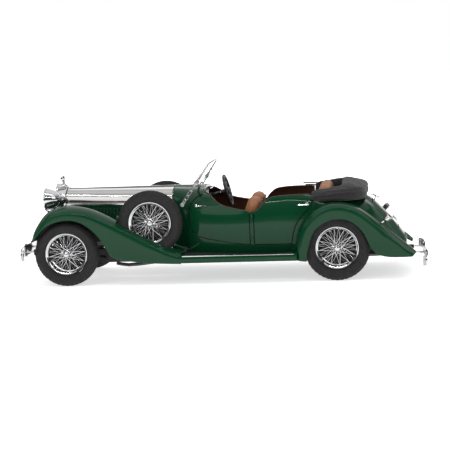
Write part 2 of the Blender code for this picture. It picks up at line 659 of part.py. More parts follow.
def make_axles():
    """A turning rear shaft in its casing, and a front beam whose eyes hold the kingpins."""
    end = WHEEL_Y + 1.6
    rod("rear_axle", (REAR_AXLE_X, -end, AXLE_Z), (REAR_AXLE_X, end, AXLE_Z), SHAFT_RADIUS, 12,
        finish=grey_metal(),
        origin=(REAR_AXLE_X, 0, AXLE_Z))
    profile = [(CASING_BORE_RADIUS, -24.4), (1.5, -24.4), (1.5, -5.0), (3.4, -1.8), (3.4, 1.8), (1.5, 5.0),
               (1.5, 24.4), (CASING_BORE_RADIUS, 24.4)]
    lathe("rear_axle_casing", profile, (REAR_AXLE_X, 0, AXLE_Z), sides=12, finish=black_plastic())
    low, high = AXLE_Z - 1.2, AXLE_Z + 1.2
    beam = box("front_axle", (FRONT_AXLE_X - 1.0, -KINGPIN_Y, low), (FRONT_AXLE_X + 1.0, KINGPIN_Y, high),
               finish=black_plastic())
    for side, name in SIDES:
        x, y = FRONT_AXLE_X, side * KINGPIN_Y
        boolean(beam, rod(f"join_eye_{name}", (x, y, low), (x, y, high), 1.6, 12, helper=True), "UNION")
        boolean(beam, rod(f"cut_eye_{name}", (x, y, low - 2), (x, y, high + 2), KINGPIN_BORE_RADIUS, 12,
                          helper=True))


def make_steering():
    """A forked knuckle on each kingpin, with its stub axle and arm, and the rod that ties the two arms."""
    x = FRONT_AXLE_X
    arm_x = x + STEERING_ARM
    low, high = AXLE_Z - 2.5, AXLE_Z + 2.5
    for side, name in SIDES:
        y = side * KINGPIN_Y
        near, far = sorted((y + side * 1.9, y + side * 2.6))
        pin = (x, y, AXLE_Z)
        knuckle = box(f"steering_knuckle_{name}", (x - 1.3, near, low), (x + 1.3, far, high),
                      finish=black_plastic(),
                      origin=pin)
        boolean(knuckle, rod(f"join_pin_{name}", (x, y, low), (x, y, high), KINGPIN_RADIUS, 12, helper=True),
                "UNION")
        for place, z in (("low", low), ("high", high - 1.0)):
            inner, outer = sorted((y - side * 1.0, y + side * 2.2))
            ear = box(f"join_ear_{place}_{name}", (x - 1.1, inner, z), (x + 1.1, outer, z + 1.0), helper=True)
            boolean(knuckle, ear, "UNION")
        stub_end = side * (WHEEL_Y + 1.6)
        stub = rod(f"join_stub_{name}", (x, y + side * 2.2, AXLE_Z), (x, stub_end, AXLE_Z), SHAFT_RADIUS, 12,
                   helper=True)
        boolean(knuckle, stub, "UNION")
        inner, outer = sorted((y - side * 1.7, y + side * 0.2))
        arm = box(f"join_arm_{name}", (x + 0.5, inner, low + 0.05), (arm_x, outer, low + 0.95), helper=True)
        boolean(knuckle, arm, "UNION")
        eye = (arm_x, y - side * 0.3, low + 0.1)
        top = (eye[0], eye[1], low + 0.9)
        boolean(knuckle, rod(f"join_arm_eye_{name}", eye, top, 1.8, 12, helper=True), "UNION")
        under, over = (eye[0], eye[1], low - 2), (eye[0], eye[1], low + 4)
        boolean(knuckle, rod(f"cut_arm_eye_{name}", under, over, TIE_EYE_RADIUS, 12, helper=True))
    reach = KINGPIN_Y - 0.3
    tie = box("tie_rod", (arm_x - 0.6, -reach, low + 1.5), (arm_x + 0.6, reach, low + 2.5),
              finish=black_plastic())
    for side, name in SIDES:
        start, end = (arm_x, side * reach, low + 0.2), (arm_x, side * reach, low + 2.0)
        boolean(tie, rod(f"join_tie_pin_{name}", start, end, TIE_PIN_RADIUS, 8, helper=True), "UNION")


def make_steering_wheel():
    axis = Vector((math.cos(COLUMN_SLOPE), 0, math.sin(COLUMN_SLOPE)))
    hub = [(0, -0.8), (1.3, -0.8), (1.5, 0.3), (0.9, 0.9), (0, 0.9)]
    rim = [(STEERING_RADIUS - 0.5, -0.35), (STEERING_RADIUS - 0.1, -0.5), (STEERING_RADIUS + 0.3, 0),
           (STEERING_RADIUS - 0.1, 0.5), (STEERING_RADIUS - 0.5, 0.35)]
    wheel = lathe("steering_wheel", rim, WHEEL_CENTRE, axis, 28, finish=black_plastic(), origin=WHEEL_CENTRE)
    boolean(wheel, lathe("join_steering_hub", hub, WHEEL_CENTRE, axis, 12, helper=True), "UNION")
    across = Vector((0, 1, 0))
    for k in range(2):
        spoke_way = Matrix.Rotation(math.radians(45 + 90 * k), 3, axis) @ across
        reach = spoke_way * (STEERING_RADIUS - 0.2)
        start, end = WHEEL_CENTRE - reach, WHEEL_CENTRE + reach
        boolean(wheel, rod(f"join_steering_spoke_{k}", start, end, 0.3, 6, helper=True), "UNION")
    near = WHEEL_CENTRE - axis * 1.2
    far = WHEEL_CENTRE - axis * 24.0
    rod("steering_column", near, far, 0.9, 10, finish=black_plastic())


# ---------------------------------------------------------------- chassis

RAIL_SIDE = [(-88.6, 16.4), (-88.6, 13.6), (-80.0, 10.0), (-72.0, RAIL_BASE_Z), (85.0, RAIL_BASE_Z),
             (105.5, 9.6), (105.5, 11.3),
             (88.0, 11.6), (76.0, 12.4), (-58.0, 12.8), (-74.0, 13.2), (-82.0, 14.6)]
CROSS_MEMBERS = (-84.0, -50.0, -8.0, 20.0, 48.0, 86.0, 103.0)


def make_chassis():
    """Two deep side rails, seven cross members and a leaf spring over each end of the rails."""
    frame = prism("chassis_frame", RAIL_SIDE, 9.6, 12.2, finish=black_plastic())
    boolean(frame, prism("join_rail_left", RAIL_SIDE, -12.2, -9.6, helper=True), "UNION")
    for k, x in enumerate(CROSS_MEMBERS):
        low = between(((-90, 14.0), (-80, 10.9), (-72, 9.8), (110, 9.6)), x)[0]
        member = box(f"join_cross_{k}", (x - 1.2, -11.0, low), (x + 1.2, 11.0, low + 1.2), helper=True)
        boolean(frame, member, "UNION")
    for place, centre_x in (("front", FRONT_AXLE_X), ("rear", REAR_AXLE_X)):
        for side, name in SIDES:
            arc = [(centre_x + 16 * t, side * 14.0, 11.2 + 2.2 * (1 - t * t)) for t in (-1, -0.5, 0, 0.5, 1)]
            rings = sweep_rings(arc, [(-1.2, -0.5), (1.2, -0.5), (1.2, 0.5), (-1.2, 0.5)])
            boolean(frame, loft(f"join_spring_{place}_{name}", rings, helper=True), "UNION")
            for end in (-1, 1):
                x = centre_x + end * 15.4
                y_low, y_high = sorted((side * 11.5, side * 15.0))
                shackle = box(f"join_shackle_{place}_{name}_{end + 1}", (x - 0.8, y_low, 10.2),
                              (x + 0.8, y_high, 11.6),
                              helper=True)
                boolean(frame, shackle, "UNION")


def make_exhaust():
    route = spline([(-46, -8.5, 7.8), (-38, -13.5, 7.6), (-24, -17.0, 9.4), (-6, -17.0, 10.9),
                    (20, -17.0, 11.0),
                    (60, -17.0, 11.0), (88, -17.0, 10.8), (101, -17.0, 10.2)], 17)
    pipe = loft("exhaust_pipe", sweep_rings(route, circle(0.9, 8)), finish=grey_metal())
    box_profile = [(0, 0), (1.4, 0), (2.3, 1.2), (2.3, 26.8), (1.4, 28), (0, 28)]
    silencer = lathe("join_silencer", box_profile, (8, -17.0, 11.0), (1, 0, 0), 12, helper=True)
    boolean(pipe, silencer, "UNION")


def bumper(name, centre_x, end_x, z, tall, back):
    """A bowed blade with a raised middle rib, two overriders and two irons that reach back to the frame."""
    half = tall / 2
    path = [(end_x + back * 2.0, -34.5, z), *spline([(end_x, -32.5, z), ((centre_x * 3 + end_x) / 4, -16, z),
            (centre_x + back * 0.9, 0, z), ((centre_x * 3 + end_x) / 4, 16, z), (end_x, 32.5, z)], 9),
            (end_x + back * 2.0, 34.5, z)]
    section = [(-0.45, -half), (0.25, -half), (0.55, -half * 0.3), (0.55, half * 0.3), (0.25, half),
               (-0.45, half)]
    if back < 0:
        section = [(-a, b) for a, b in section][::-1]
    blade = loft(name, sweep_rings(path, section), finish=chrome())
    for side, side_name in SIDES:
        y = side * 13.6
        low_x, high_x = sorted((centre_x, centre_x + back * 2.6))
        guard = box(f"join_overrider_{name}_{side_name}", (low_x, y - 1.1, z - half - 0.7),
                    (high_x, y + 1.1, z + half + 0.7), helper=True)
        boolean(blade, guard, "UNION")
    return blade


def make_bumpers():
    """The irons run from the blades to just short of the frame's ends."""
    front = bumper("front_bumper", FRONT_END_X, -90.2, 16.2, 5.6, 1)
    rear = bumper("rear_bumper", REAR_END_X, 109.4, 9.2, 5.0, -1)
    for side, name in SIDES:
        y = side * 10.9
        iron = box(f"join_front_iron_{name}", (FRONT_END_X + 1.0, y - 1.1, 14.4), (-88.95, y + 1.1, 16.0),
                   helper=True)
        boolean(front, iron, "UNION")
        bridge = box(f"join_front_foot_{name}", (-92.3, min(y, side * 13.8), 14.6),
                     (-91.0, max(y, side * 13.8), 17.4),
                     helper=True)
        boolean(front, bridge, "UNION")
        iron = box(f"join_rear_iron_{name}", (105.85, y - 1.1, 9.5), (REAR_END_X - 1.0, y + 1.1, 11.1),
                   helper=True)
        boolean(rear, iron, "UNION")
        bridge = box(f"join_rear_foot_{name}", (109.4, min(y, side * 13.8), 8.2),
                     (110.7, max(y, side * 13.8), 10.8),
                     helper=True)
        boolean(rear, bridge, "UNION")


# ---------------------------------------------------------------- lamps, screen, cabin and hood

def make_lamps():
    for side, name in SIDES:
        centre = (-76.5, side * 14.4, 42.0)
        bowl = [(0, -4.4), (1.2, -4.4), (3.6, -2.6), (5.2, 0.2), (5.9, 3.0), (6.0, 3.7), (5.4, 3.9),
                (5.2, 2.6),
                (0, 2.6)]
        lamp = lathe(f"headlamp_{name}", bowl, centre, (-1, 0, 0), 20, finish=chrome())
        post = rod(f"join_lamp_post_{name}", (-75.2, side * 14.6, 33.2), (-75.8, side * 14.4, 38.5), 0.8, 8,
                   helper=True)
        boolean(lamp, post, "UNION")
        lens = [(0, 3.0), (4.8, 3.0), (4.8, 4.1), (2.6, 4.6), (0, 4.6)]
        lathe(f"headlamp_lens_{name}", lens, centre, (-1, 0, 0), 20,
              finish=material("lamp_glass", CLEAR, 0.05))
        tail = [(0, 0), (1.3, 0), (1.5, 1.2), (1.5, 3.4), (1.1, 3.9), (0, 3.9)]
        lathe(f"tail_lamp_{name}", tail, (90.4, side * 27.6, 28.3), (0.75, 0, 0.66), 12,
              finish=material("tail_lamp_red", RED, 0.2))


def make_screen():
    """A framed windscreen that folds forward on two stanchions."""
    up = Vector((math.sin(SCREEN_RAKE), 0, math.cos(SCREEN_RAKE)))
    low, high = SCREEN_PIVOT - up * 1.5, SCREEN_PIVOT + up * 10.9
    w = SCREEN_HALF_WIDTH
    outer = [low + Vector((0, -w, 0)), low + Vector((0, w, 0)), high + Vector((0, w, 0)),
             high + Vector((0, -w, 0))]
    middle = sum(outer, Vector()) / 4
    depth = up.cross(Vector((0, 1, 0)))

    def ring(inset, level):
        found = []
        for p in outer:
            flat = p - middle
            y = flat.y - inset * math.copysign(1, flat.y)
            along = flat.dot(up)
            rise = up * (along - inset * math.copysign(1, along))
            found.append(middle + Vector((0, y, 0)) + rise + depth * level)
        return found

    rings = [ring(-0.5, -0.5), ring(-0.5, 0.5), ring(0.5, 0.5), ring(0.5, -0.5)]
    points = [p for r in rings for p in r]
    faces = []
    for r in range(4):
        for k in range(4):
            a, b, n = r * 4, ((r + 1) % 4) * 4, (k + 1) % 4
            faces.append((a + k, a + n, b + n, b + k))
    add_object("windscreen_frame", points, faces, finish=chrome(), origin=SCREEN_PIVOT)
    loft("windscreen_glass", [ring(0.8, -0.2), ring(0.8, 0.2)], finish=material("screen_glass", CLEAR, 0.02),
         origin=SCREEN_PIVOT)
    for side, name in SIDES:
        y = side * (w + 1.75)
        foot = SCREEN_PIVOT - up * 12.6
        path = [(foot.x, side * 25.0, foot.z), (foot.x + 1.6, side * 24.4, foot.z + 2.4),
                (-3.6, side * 23.2, 46.7), (SCREEN_PIVOT.x + up.x * 2.2, y, SCREEN_PIVOT.z + up.z * 2.2)]
        section = [(-0.45, -0.7), (0.45, -0.7), (0.45, 0.7), (-0.45, 0.7)]
        post = loft(f"screen_stanchion_{name}", sweep_rings(path, section, (1, 0, -0.6)), finish=chrome())
        knob = rod(f"join_screen_knob_{name}", (SCREEN_PIVOT.x, y - side * 0.3, SCREEN_PIVOT.z),
                   (SCREEN_PIVOT.x, y + side * 1.3, SCREEN_PIVOT.z), 1.1, 10, helper=True)
        boolean(post, knob, "UNION")


def make_dashboard():
    half = inside(half_section(-1.6), WALL + 0.5)
    outline = [(y, z) for y, z in half if z > 33.0]
    outline += [(outline[-1][0], 33.4), (6.0, 32.6)]
    full = outline + [(-y, z) for y, z in outline[:0:-1]]
    board = prism("dashboard", full, -1.6, 0.4, "X", finish=black_plastic())
    slope = math.tan(COLUMN_SLOPE)
    centre = WHEEL_CENTRE - Vector((12.0, 0, 12.0 * slope))
    ends = [centre + Vector((d, 0, d * slope)) for d in (-6, 6)]
    boolean(board, rod("cut_column_hole", ends[0], ends[1], 1.25, 12, helper=True))


# Side views of the seats, as x and z pairs.
FRONT_SEAT_SIDE = [(8.0, 15.6), (7.6, 22.4), (9.2, 24.0), (19.5, 23.2), (25.4, 40.4), (27.1, 42.7),
                   (29.3, 43.4),
                   (31.4, 42.2), (31.6, 39.4), (24.3, 15.6)]
REAR_SEAT_SIDE = [(43.4, 15.6), (43.1, 29.4), (44.7, 31.0), (55.5, 30.2), (59.5, 44.4), (61.2, 46.7),
                  (63.5, 47.4),
                  (65.4, 46.2), (65.7, 43.4), (64.6, 22.8), (56.8, 22.8), (49.4, 15.6)]


def make_seats():
    for side, name in SIDES:
        near, far = sorted((side * 2.2, side * 22.6))
        prism(f"front_seat_{name}", FRONT_SEAT_SIDE, near, far, finish=leather())
    prism("rear_seat", REAR_SEAT_SIDE, -21.0, 21.0, finish=leather())


def make_hood():
    """The folded hood: a U in plan that wraps the rear seat, cut to its side view."""
    plan = [(57.0, -28.7), (70.0, -29.0), (78.0, -27.6), (82.0, -22.5), (83.4, -12.0), (83.6, 0.0)]
    plan += [(x, -y) for x, y in plan[-2::-1]]
    plan += [(57.0, 22.8), (66.4, 22.2), (68.6, 19.0), (68.6, -19.0), (66.4, -22.2), (57.0, -22.8)]
    side_view = [(56.0, DECK_Z + FIT), (84.6, DECK_Z + FIT), (84.6, 43.6), (82.0, 46.0), (79.0, 46.6),
                 (72.0, 46.0),
                 (64.0, 44.6), (59.0, 43.0), (56.0, 41.4)]
    hood = prism("folded_hood", plan, 36, 50, "Z", finish=material("hood_cloth", HOOD_CLOTH, 0.85))
    boolean(hood, prism("keep_hood_profile", side_view, -40, 40, helper=True), "INTERSECT")


def main():
    clear_scene()
    origin = bpy.data.objects.new("car_origin", None)
    origin.location = (FRAME_SHIFT_X * MM, 0, 0)
    bpy.context.scene.collection.objects.link(origin)
    make_body_cutters()
    make_body()
    make_doors()
    make_boot_lid()
    make_bonnet()
    make_radiator()
    make_engine()
    make_wings()
    make_running_boards()
    make_wheels()
    make_axles()
    make_steering()
    make_steering_wheel()
    make_chassis()
    make_exhaust()
    make_bumpers()
    make_lamps()
    make_screen()
    make_dashboard()
    make_seats()
    make_hood()


main()
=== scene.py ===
"""The finished look of a 1:24 open tourer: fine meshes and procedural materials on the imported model's bodies.

Shapes are drawn in millimetres from the middle of the wheelbase at ground level, with the nose along -X and
the car's left side along -Y. to_world() turns them into metres in the row frame.
"""

from math import copysign, cos, dist, exp, pi, radians, sin, sqrt, tau

import bmesh
import bpy
import numpy as np
from mathutils import Matrix, Vector, noise
from mathutils.bvhtree import BVHTree


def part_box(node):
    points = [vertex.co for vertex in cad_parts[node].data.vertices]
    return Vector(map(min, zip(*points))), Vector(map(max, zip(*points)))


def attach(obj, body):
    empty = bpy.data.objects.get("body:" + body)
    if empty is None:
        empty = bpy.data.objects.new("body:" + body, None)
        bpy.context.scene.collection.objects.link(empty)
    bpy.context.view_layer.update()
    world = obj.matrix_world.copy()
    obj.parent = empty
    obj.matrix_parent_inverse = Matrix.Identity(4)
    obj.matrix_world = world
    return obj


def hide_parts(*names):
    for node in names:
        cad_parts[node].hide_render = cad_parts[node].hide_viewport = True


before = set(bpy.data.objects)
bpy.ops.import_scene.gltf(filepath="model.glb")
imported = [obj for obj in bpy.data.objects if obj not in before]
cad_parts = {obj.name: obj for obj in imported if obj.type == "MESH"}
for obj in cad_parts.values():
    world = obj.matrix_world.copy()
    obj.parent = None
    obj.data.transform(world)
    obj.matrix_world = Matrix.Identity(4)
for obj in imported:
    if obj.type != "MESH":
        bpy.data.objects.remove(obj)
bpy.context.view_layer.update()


def box_centre(node):
    low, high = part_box(node)
    return (low + high) / 2


FRONT_WHEEL = box_centre("tyre_front_left")
REAR_WHEEL = box_centre("tyre_rear_left")
MIDDLE_X = (FRONT_WHEEL.x + REAR_WHEEL.x) / 2
MM = 0.001
FRONT_AXLE_X = (FRONT_WHEEL.x - MIDDLE_X) / MM
REAR_AXLE_X = (REAR_WHEEL.x - MIDDLE_X) / MM
AXLE_Z = FRONT_WHEEL.z / MM
WHEEL_Y = -FRONT_WHEEL.y / MM
TYRE_RADIUS = AXLE_Z
TYRE_HALF = 3.3
SPARE = Vector((-24.8, 28.9, 30.5))
SIDES = ((-1, "left"), (1, "right"))
GAP = 0.4
PANEL_EDGE = 0.16
WALL = 1.3
WING_WALL = 0.8
WING_OUTER_Y = 36.5
REAR_WELL_CLEARANCE = 1.6
SPARE_WELL_CLEARANCE = 0.7


# ---------------------------------------------------------------- materials

def shader_of(mat):
    return mat.node_tree.nodes["Principled BSDF"]


def set_inputs(made, **inputs):
    """Sets a node's inputs by name, with _ for each space."""
    for name, value in inputs.items():
        made.inputs[name.replace("_", " ")].default_value = value


def new_material(name, colour, roughness, metallic=0.0, **sockets):
    made = bpy.data.materials.new(name)
    made.use_nodes = True
    set_inputs(shader_of(made), Base_Color=(*colour, 1.0), Roughness=roughness, Metallic=metallic, **sockets)
    return made


def node(owner, kind, **inputs):
    """A new node in a material's or world's tree."""
    made = owner.node_tree.nodes.new(kind)
    set_inputs(made, **inputs)
    return made


def link(owner, out, into):
    owner.node_tree.links.new(out, into)


def coordinates(mat, stretch=(1, 1, 1)):
    source = node(mat, "ShaderNodeTexCoord")
    mapping = node(mat, "ShaderNodeMapping", Scale=stretch)
    link(mat, source.outputs["Object"], mapping.inputs["Vector"])
    return mapping.outputs["Vector"]


def noise_of(mat, size_mm, detail=4.0, stretch=(1, 1, 1), distortion=0.0):
    """Noise whose features are about size_mm across."""
    made = node(mat, "ShaderNodeTexNoise", Scale=1 / (size_mm * MM), Detail=detail, Distortion=distortion)
    link(mat, coordinates(mat, stretch), made.inputs["Vector"])
    return made.outputs["Fac"]


def spread(owner, value, low, high, start=0.3, end=0.7):
    """Maps a factor between start and end onto low to high."""
    made = node(owner, "ShaderNodeMapRange", From_Min=start, From_Max=end, To_Min=low, To_Max=high)
    link(owner, value, made.inputs["Value"])
    return made.outputs["Result"]


def colour_between(mat, factor, first, second):
    mix = node(mat, "ShaderNodeMix")
    mix.data_type = "RGBA"
    mix.inputs[6].default_value = (*first, 1)
    mix.inputs[7].default_value = (*second, 1)
    link(mat, factor, mix.inputs[0])
    link(mat, mix.outputs[2], shader_of(mat).inputs["Base Color"])


def bump(mat, height, depth_mm, strength=1.0):
    made = node(mat, "ShaderNodeBump", Strength=strength, Distance=depth_mm * MM)
    link(mat, height, made.inputs["Height"])
    before = shader_of(mat).inputs["Normal"]
    if before.is_linked:
        link(mat, before.links[0].from_socket, made.inputs["Normal"])
    link(mat, made.outputs["Normal"], before)


def roughen(mat, factor, low, high):
    link(mat, spread(mat, factor, low, high), shader_of(mat).inputs["Roughness"])


def enamel(name, first, second, coat=0.32, rough=(0.10, 0.2)):
    """Sprayed enamel: slight colour drift, faint orange peel and a clear top coat."""
    mat = new_material(name, first, rough[0], Coat_Weight=coat, Coat_Roughness=0.03, Specular_IOR_Level=0.07)
    colour_between(mat, noise_of(mat, 18, 3), first, second)
    roughen(mat, noise_of(mat, 5, 5), *rough)
    bump(mat, noise_of(mat, 0.9, 2), 0.006, 0.35)
    return mat


def plate(name, tint, low, high, grain=(1, 1, 1)):
    """Bright plated or polished metal with faint wipe marks."""
    mat = new_material(name, tint, low, 1.0)
    roughen(mat, noise_of(mat, 3, 6, grain), low, high)
    colour_between(mat, noise_of(mat, 11, 3), tint, tuple(0.9 * c for c in tint))
    bump(mat, noise_of(mat, 1.6, 3, grain), 0.004, 0.3)
    return mat


def rubber_material():
    mat = new_material("tyre_rubber", (0.018, 0.018, 0.02), 0.75, Specular_IOR_Level=0.3)
    colour_between(mat, noise_of(mat, 4, 6), (0.011, 0.011, 0.012), (0.021, 0.020, 0.020))
    roughen(mat, noise_of(mat, 1.4, 4), 0.55, 0.85)
    bump(mat, noise_of(mat, 0.18, 3), 0.02, 0.5)
    return mat


def leather_material(name, first, second, grain_mm=0.45):
    """Hide: pebbled grain from cells, fine creases, and colour that drifts at random."""
    mat = new_material(name, first, 0.45, Specular_IOR_Level=0.45)
    colour_between(mat, noise_of(mat, 3.2, 6), first, second)
    cells = node(mat, "ShaderNodeTexVoronoi", Scale=1 / (grain_mm * MM))
    cells.feature = "DISTANCE_TO_EDGE"
    link(mat, coordinates(mat), cells.inputs["Vector"])
    bump(mat, spread(mat, cells.outputs["Distance"], 0, 1, 0, 0.12), 0.03, 0.45)
    bump(mat, noise_of(mat, 1.7, 6, distortion=0.8), 0.10, 0.4)
    roughen(mat, noise_of(mat, 0.8, 4), 0.36, 0.58)
    return mat


def cloth_material(name, first, second, pitch_mm=0.32):
    """Woven cloth: two crossed sets of threads, soft mottling and a light sheen."""
    mat = new_material(name, first, 0.9, Sheen_Weight=0.15, Sheen_Roughness=0.5)
    colour_between(mat, noise_of(mat, 2.6, 6), first, second)
    for direction in ("X", "Y"):
        threads = node(mat, "ShaderNodeTexWave", Scale=1 / (pitch_mm * MM * 2 * pi) * 2, Distortion=0.6)
        threads.bands_direction = direction
        link(mat, coordinates(mat), threads.inputs["Vector"])
        bump(mat, threads.outputs["Fac"], 0.025, 0.5)
    bump(mat, noise_of(mat, 2.2, 5, distortion=0.5), 0.12, 0.5)
    roughen(mat, noise_of(mat, 0.6, 3), 0.8, 0.95)
    return mat


def moulded(name, first, second, low=0.35, high=0.55, grain_mm=0.4):
    """Satin moulded or cast surface with a fine texture."""
    mat = new_material(name, first, low)
    colour_between(mat, noise_of(mat, 5, 4), first, second)
    roughen(mat, noise_of(mat, 1.2, 4), low, high)
    bump(mat, noise_of(mat, grain_mm, 3), 0.015, 0.4)
    return mat


def glass_material(name, tint=(1, 1, 1), low=0.0, high=0.05):
    mat = new_material(name, tint, low, Transmission_Weight=1.0, IOR=1.45)
    roughen(mat, noise_of(mat, 6, 5), low, high)
    return mat


PAINT = enamel("green_enamel", (0.002, 0.038, 0.014), (0.003, 0.047, 0.018), rough=(0.12, 0.22))
CHROME = plate("chrome_plate", (0.60, 0.60, 0.61), 0.05, 0.11)
ALUMINIUM = plate("polished_aluminium", (0.50, 0.495, 0.49), 0.08, 0.16, (0.12, 1, 1))
SPOKE_METAL = plate("spoke_silver", (0.66, 0.66, 0.67), 0.16, 0.28)
RUBBER = rubber_material()
TAN_LEATHER = leather_material("tan_leather", (0.27, 0.10, 0.036), (0.38, 0.155, 0.06))
BROWN_TRIM = leather_material("brown_trim", (0.038, 0.016, 0.010), (0.06, 0.026, 0.015))
HOOD_CLOTH = cloth_material("hood_cloth", (0.010, 0.010, 0.011), (0.020, 0.020, 0.022))
CARPET = cloth_material("cabin_carpet", (0.03, 0.018, 0.012), (0.055, 0.034, 0.022), 0.5)
BLACK = moulded("black_moulding", (0.010, 0.010, 0.011), (0.02, 0.02, 0.021), 0.25, 0.42)
CHASSIS_BLACK = moulded("chassis_black", (0.012, 0.012, 0.013), (0.025, 0.024, 0.023), 0.4, 0.6)
ENGINE_GREY = moulded("cast_engine", (0.22, 0.225, 0.23), (0.32, 0.32, 0.325), 0.4, 0.6, 0.3)
STEEL = plate("dull_steel", (0.42, 0.42, 0.43), 0.25, 0.42)
DARK_STEEL = plate("dark_steel", (0.11, 0.11, 0.11), 0.4, 0.6)
GLASS = glass_material("screen_glass")
LENS_GLASS = glass_material("lamp_glass", (0.97, 0.99, 1.0), 0.02, 0.08)
RED_LENS = glass_material("red_lens", (0.42, 0.01, 0.01), 0.03, 0.1)
GAUGE_FACE = moulded("gauge_face", (0.55, 0.53, 0.46), (0.65, 0.62, 0.55), 0.3, 0.4)
# Near-black: the gauges' ticks and pointers, and painted shade in the louvre openings, behind the door gaps and
# in the wheels behind the spokes.
NEAR_BLACK_AND_SHADE = moulded("near_black_and_painted_shade", (0.004, 0.004, 0.004), (0.008, 0.008, 0.008), 0.7, 0.9)


# ---------------------------------------------------------------- mesh tools

def to_world(p):
    return Vector((p[0] * MM + MIDDLE_X, p[1] * MM, p[2] * MM))


def to_design(p):
    return (p.x - MIDDLE_X) / MM, p.y / MM, p.z / MM


def catmull(points, count):
    """count points along a Catmull-Rom curve through the rows of an array, ends included."""
    p = np.asarray(points, float)
    p = np.concatenate([[2 * p[0] - p[1]], p, [2 * p[-1] - p[-2]]])
    s = np.linspace(0, len(p) - 3, count)
    k = np.minimum(s.astype(int), len(p) - 4)
    t = (s - k).reshape((-1,) + (1,) * (p.ndim - 1))
    a, b, c, d = p[k], p[k + 1], p[k + 2], p[k + 3]
    bend, twist = 2 * a - 5 * b + 4 * c - d, 3 * b - a - 3 * c + d
    return 0.5 * (2 * b + (c - a) * t + bend * t * t + twist * t ** 3)


def refine(rows, along, across):
    """A finer grid through a grid of points."""
    finer = catmull(rows, along)
    return catmull(finer.swapaxes(0, 1), across).swapaxes(0, 1)


def between(table, x):
    """The row of numbers at x, from rows that each start with their own x."""
    xs = [row[0] for row in table]
    return [float(np.interp(x, xs, [row[i] for row in table])) for i in range(1, len(table[0]))]


def grid_faces(rows, columns, closed_rows=False, closed_columns=False, start=0):
    faces = []
    for r in range(rows if closed_rows else rows - 1):
        for c in range(columns if closed_columns else columns - 1):
            a, b, n = start + r * columns, start + ((r + 1) % rows) * columns, (c + 1) % columns
            faces.append((a + c, a + n, b + n, b + c))
    return faces


def end_faces(rows, columns):
    """The two caps that close a stack of rings."""
    last = (rows - 1) * columns
    return [tuple(range(columns))[::-1], tuple(range(last, last + columns))]


def turn_to(axis):
    return Vector((0, 0, 1)).rotation_difference(Vector(axis)).to_matrix()


def new_object(name, data):
    obj = bpy.data.objects.new(name, data)
    bpy.context.scene.collection.objects.link(obj)
    return obj


def set_materials(mesh, *materials):
    mesh.materials.clear()
    for mat in materials:
        mesh.materials.append(mat)


def face_outwards(mesh):
    work = bmesh.new()
    work.from_mesh(mesh)
    bmesh.ops.recalc_face_normals(work, faces=work.faces)
    work.to_mesh(mesh)
    work.free()


def smooth_shading(mesh, sharp=32):
    """Smooth, but for the edges that bend by more than sharp degrees."""
    mesh.shade_smooth()
    mesh.set_sharp_from_angle(angle=radians(sharp))


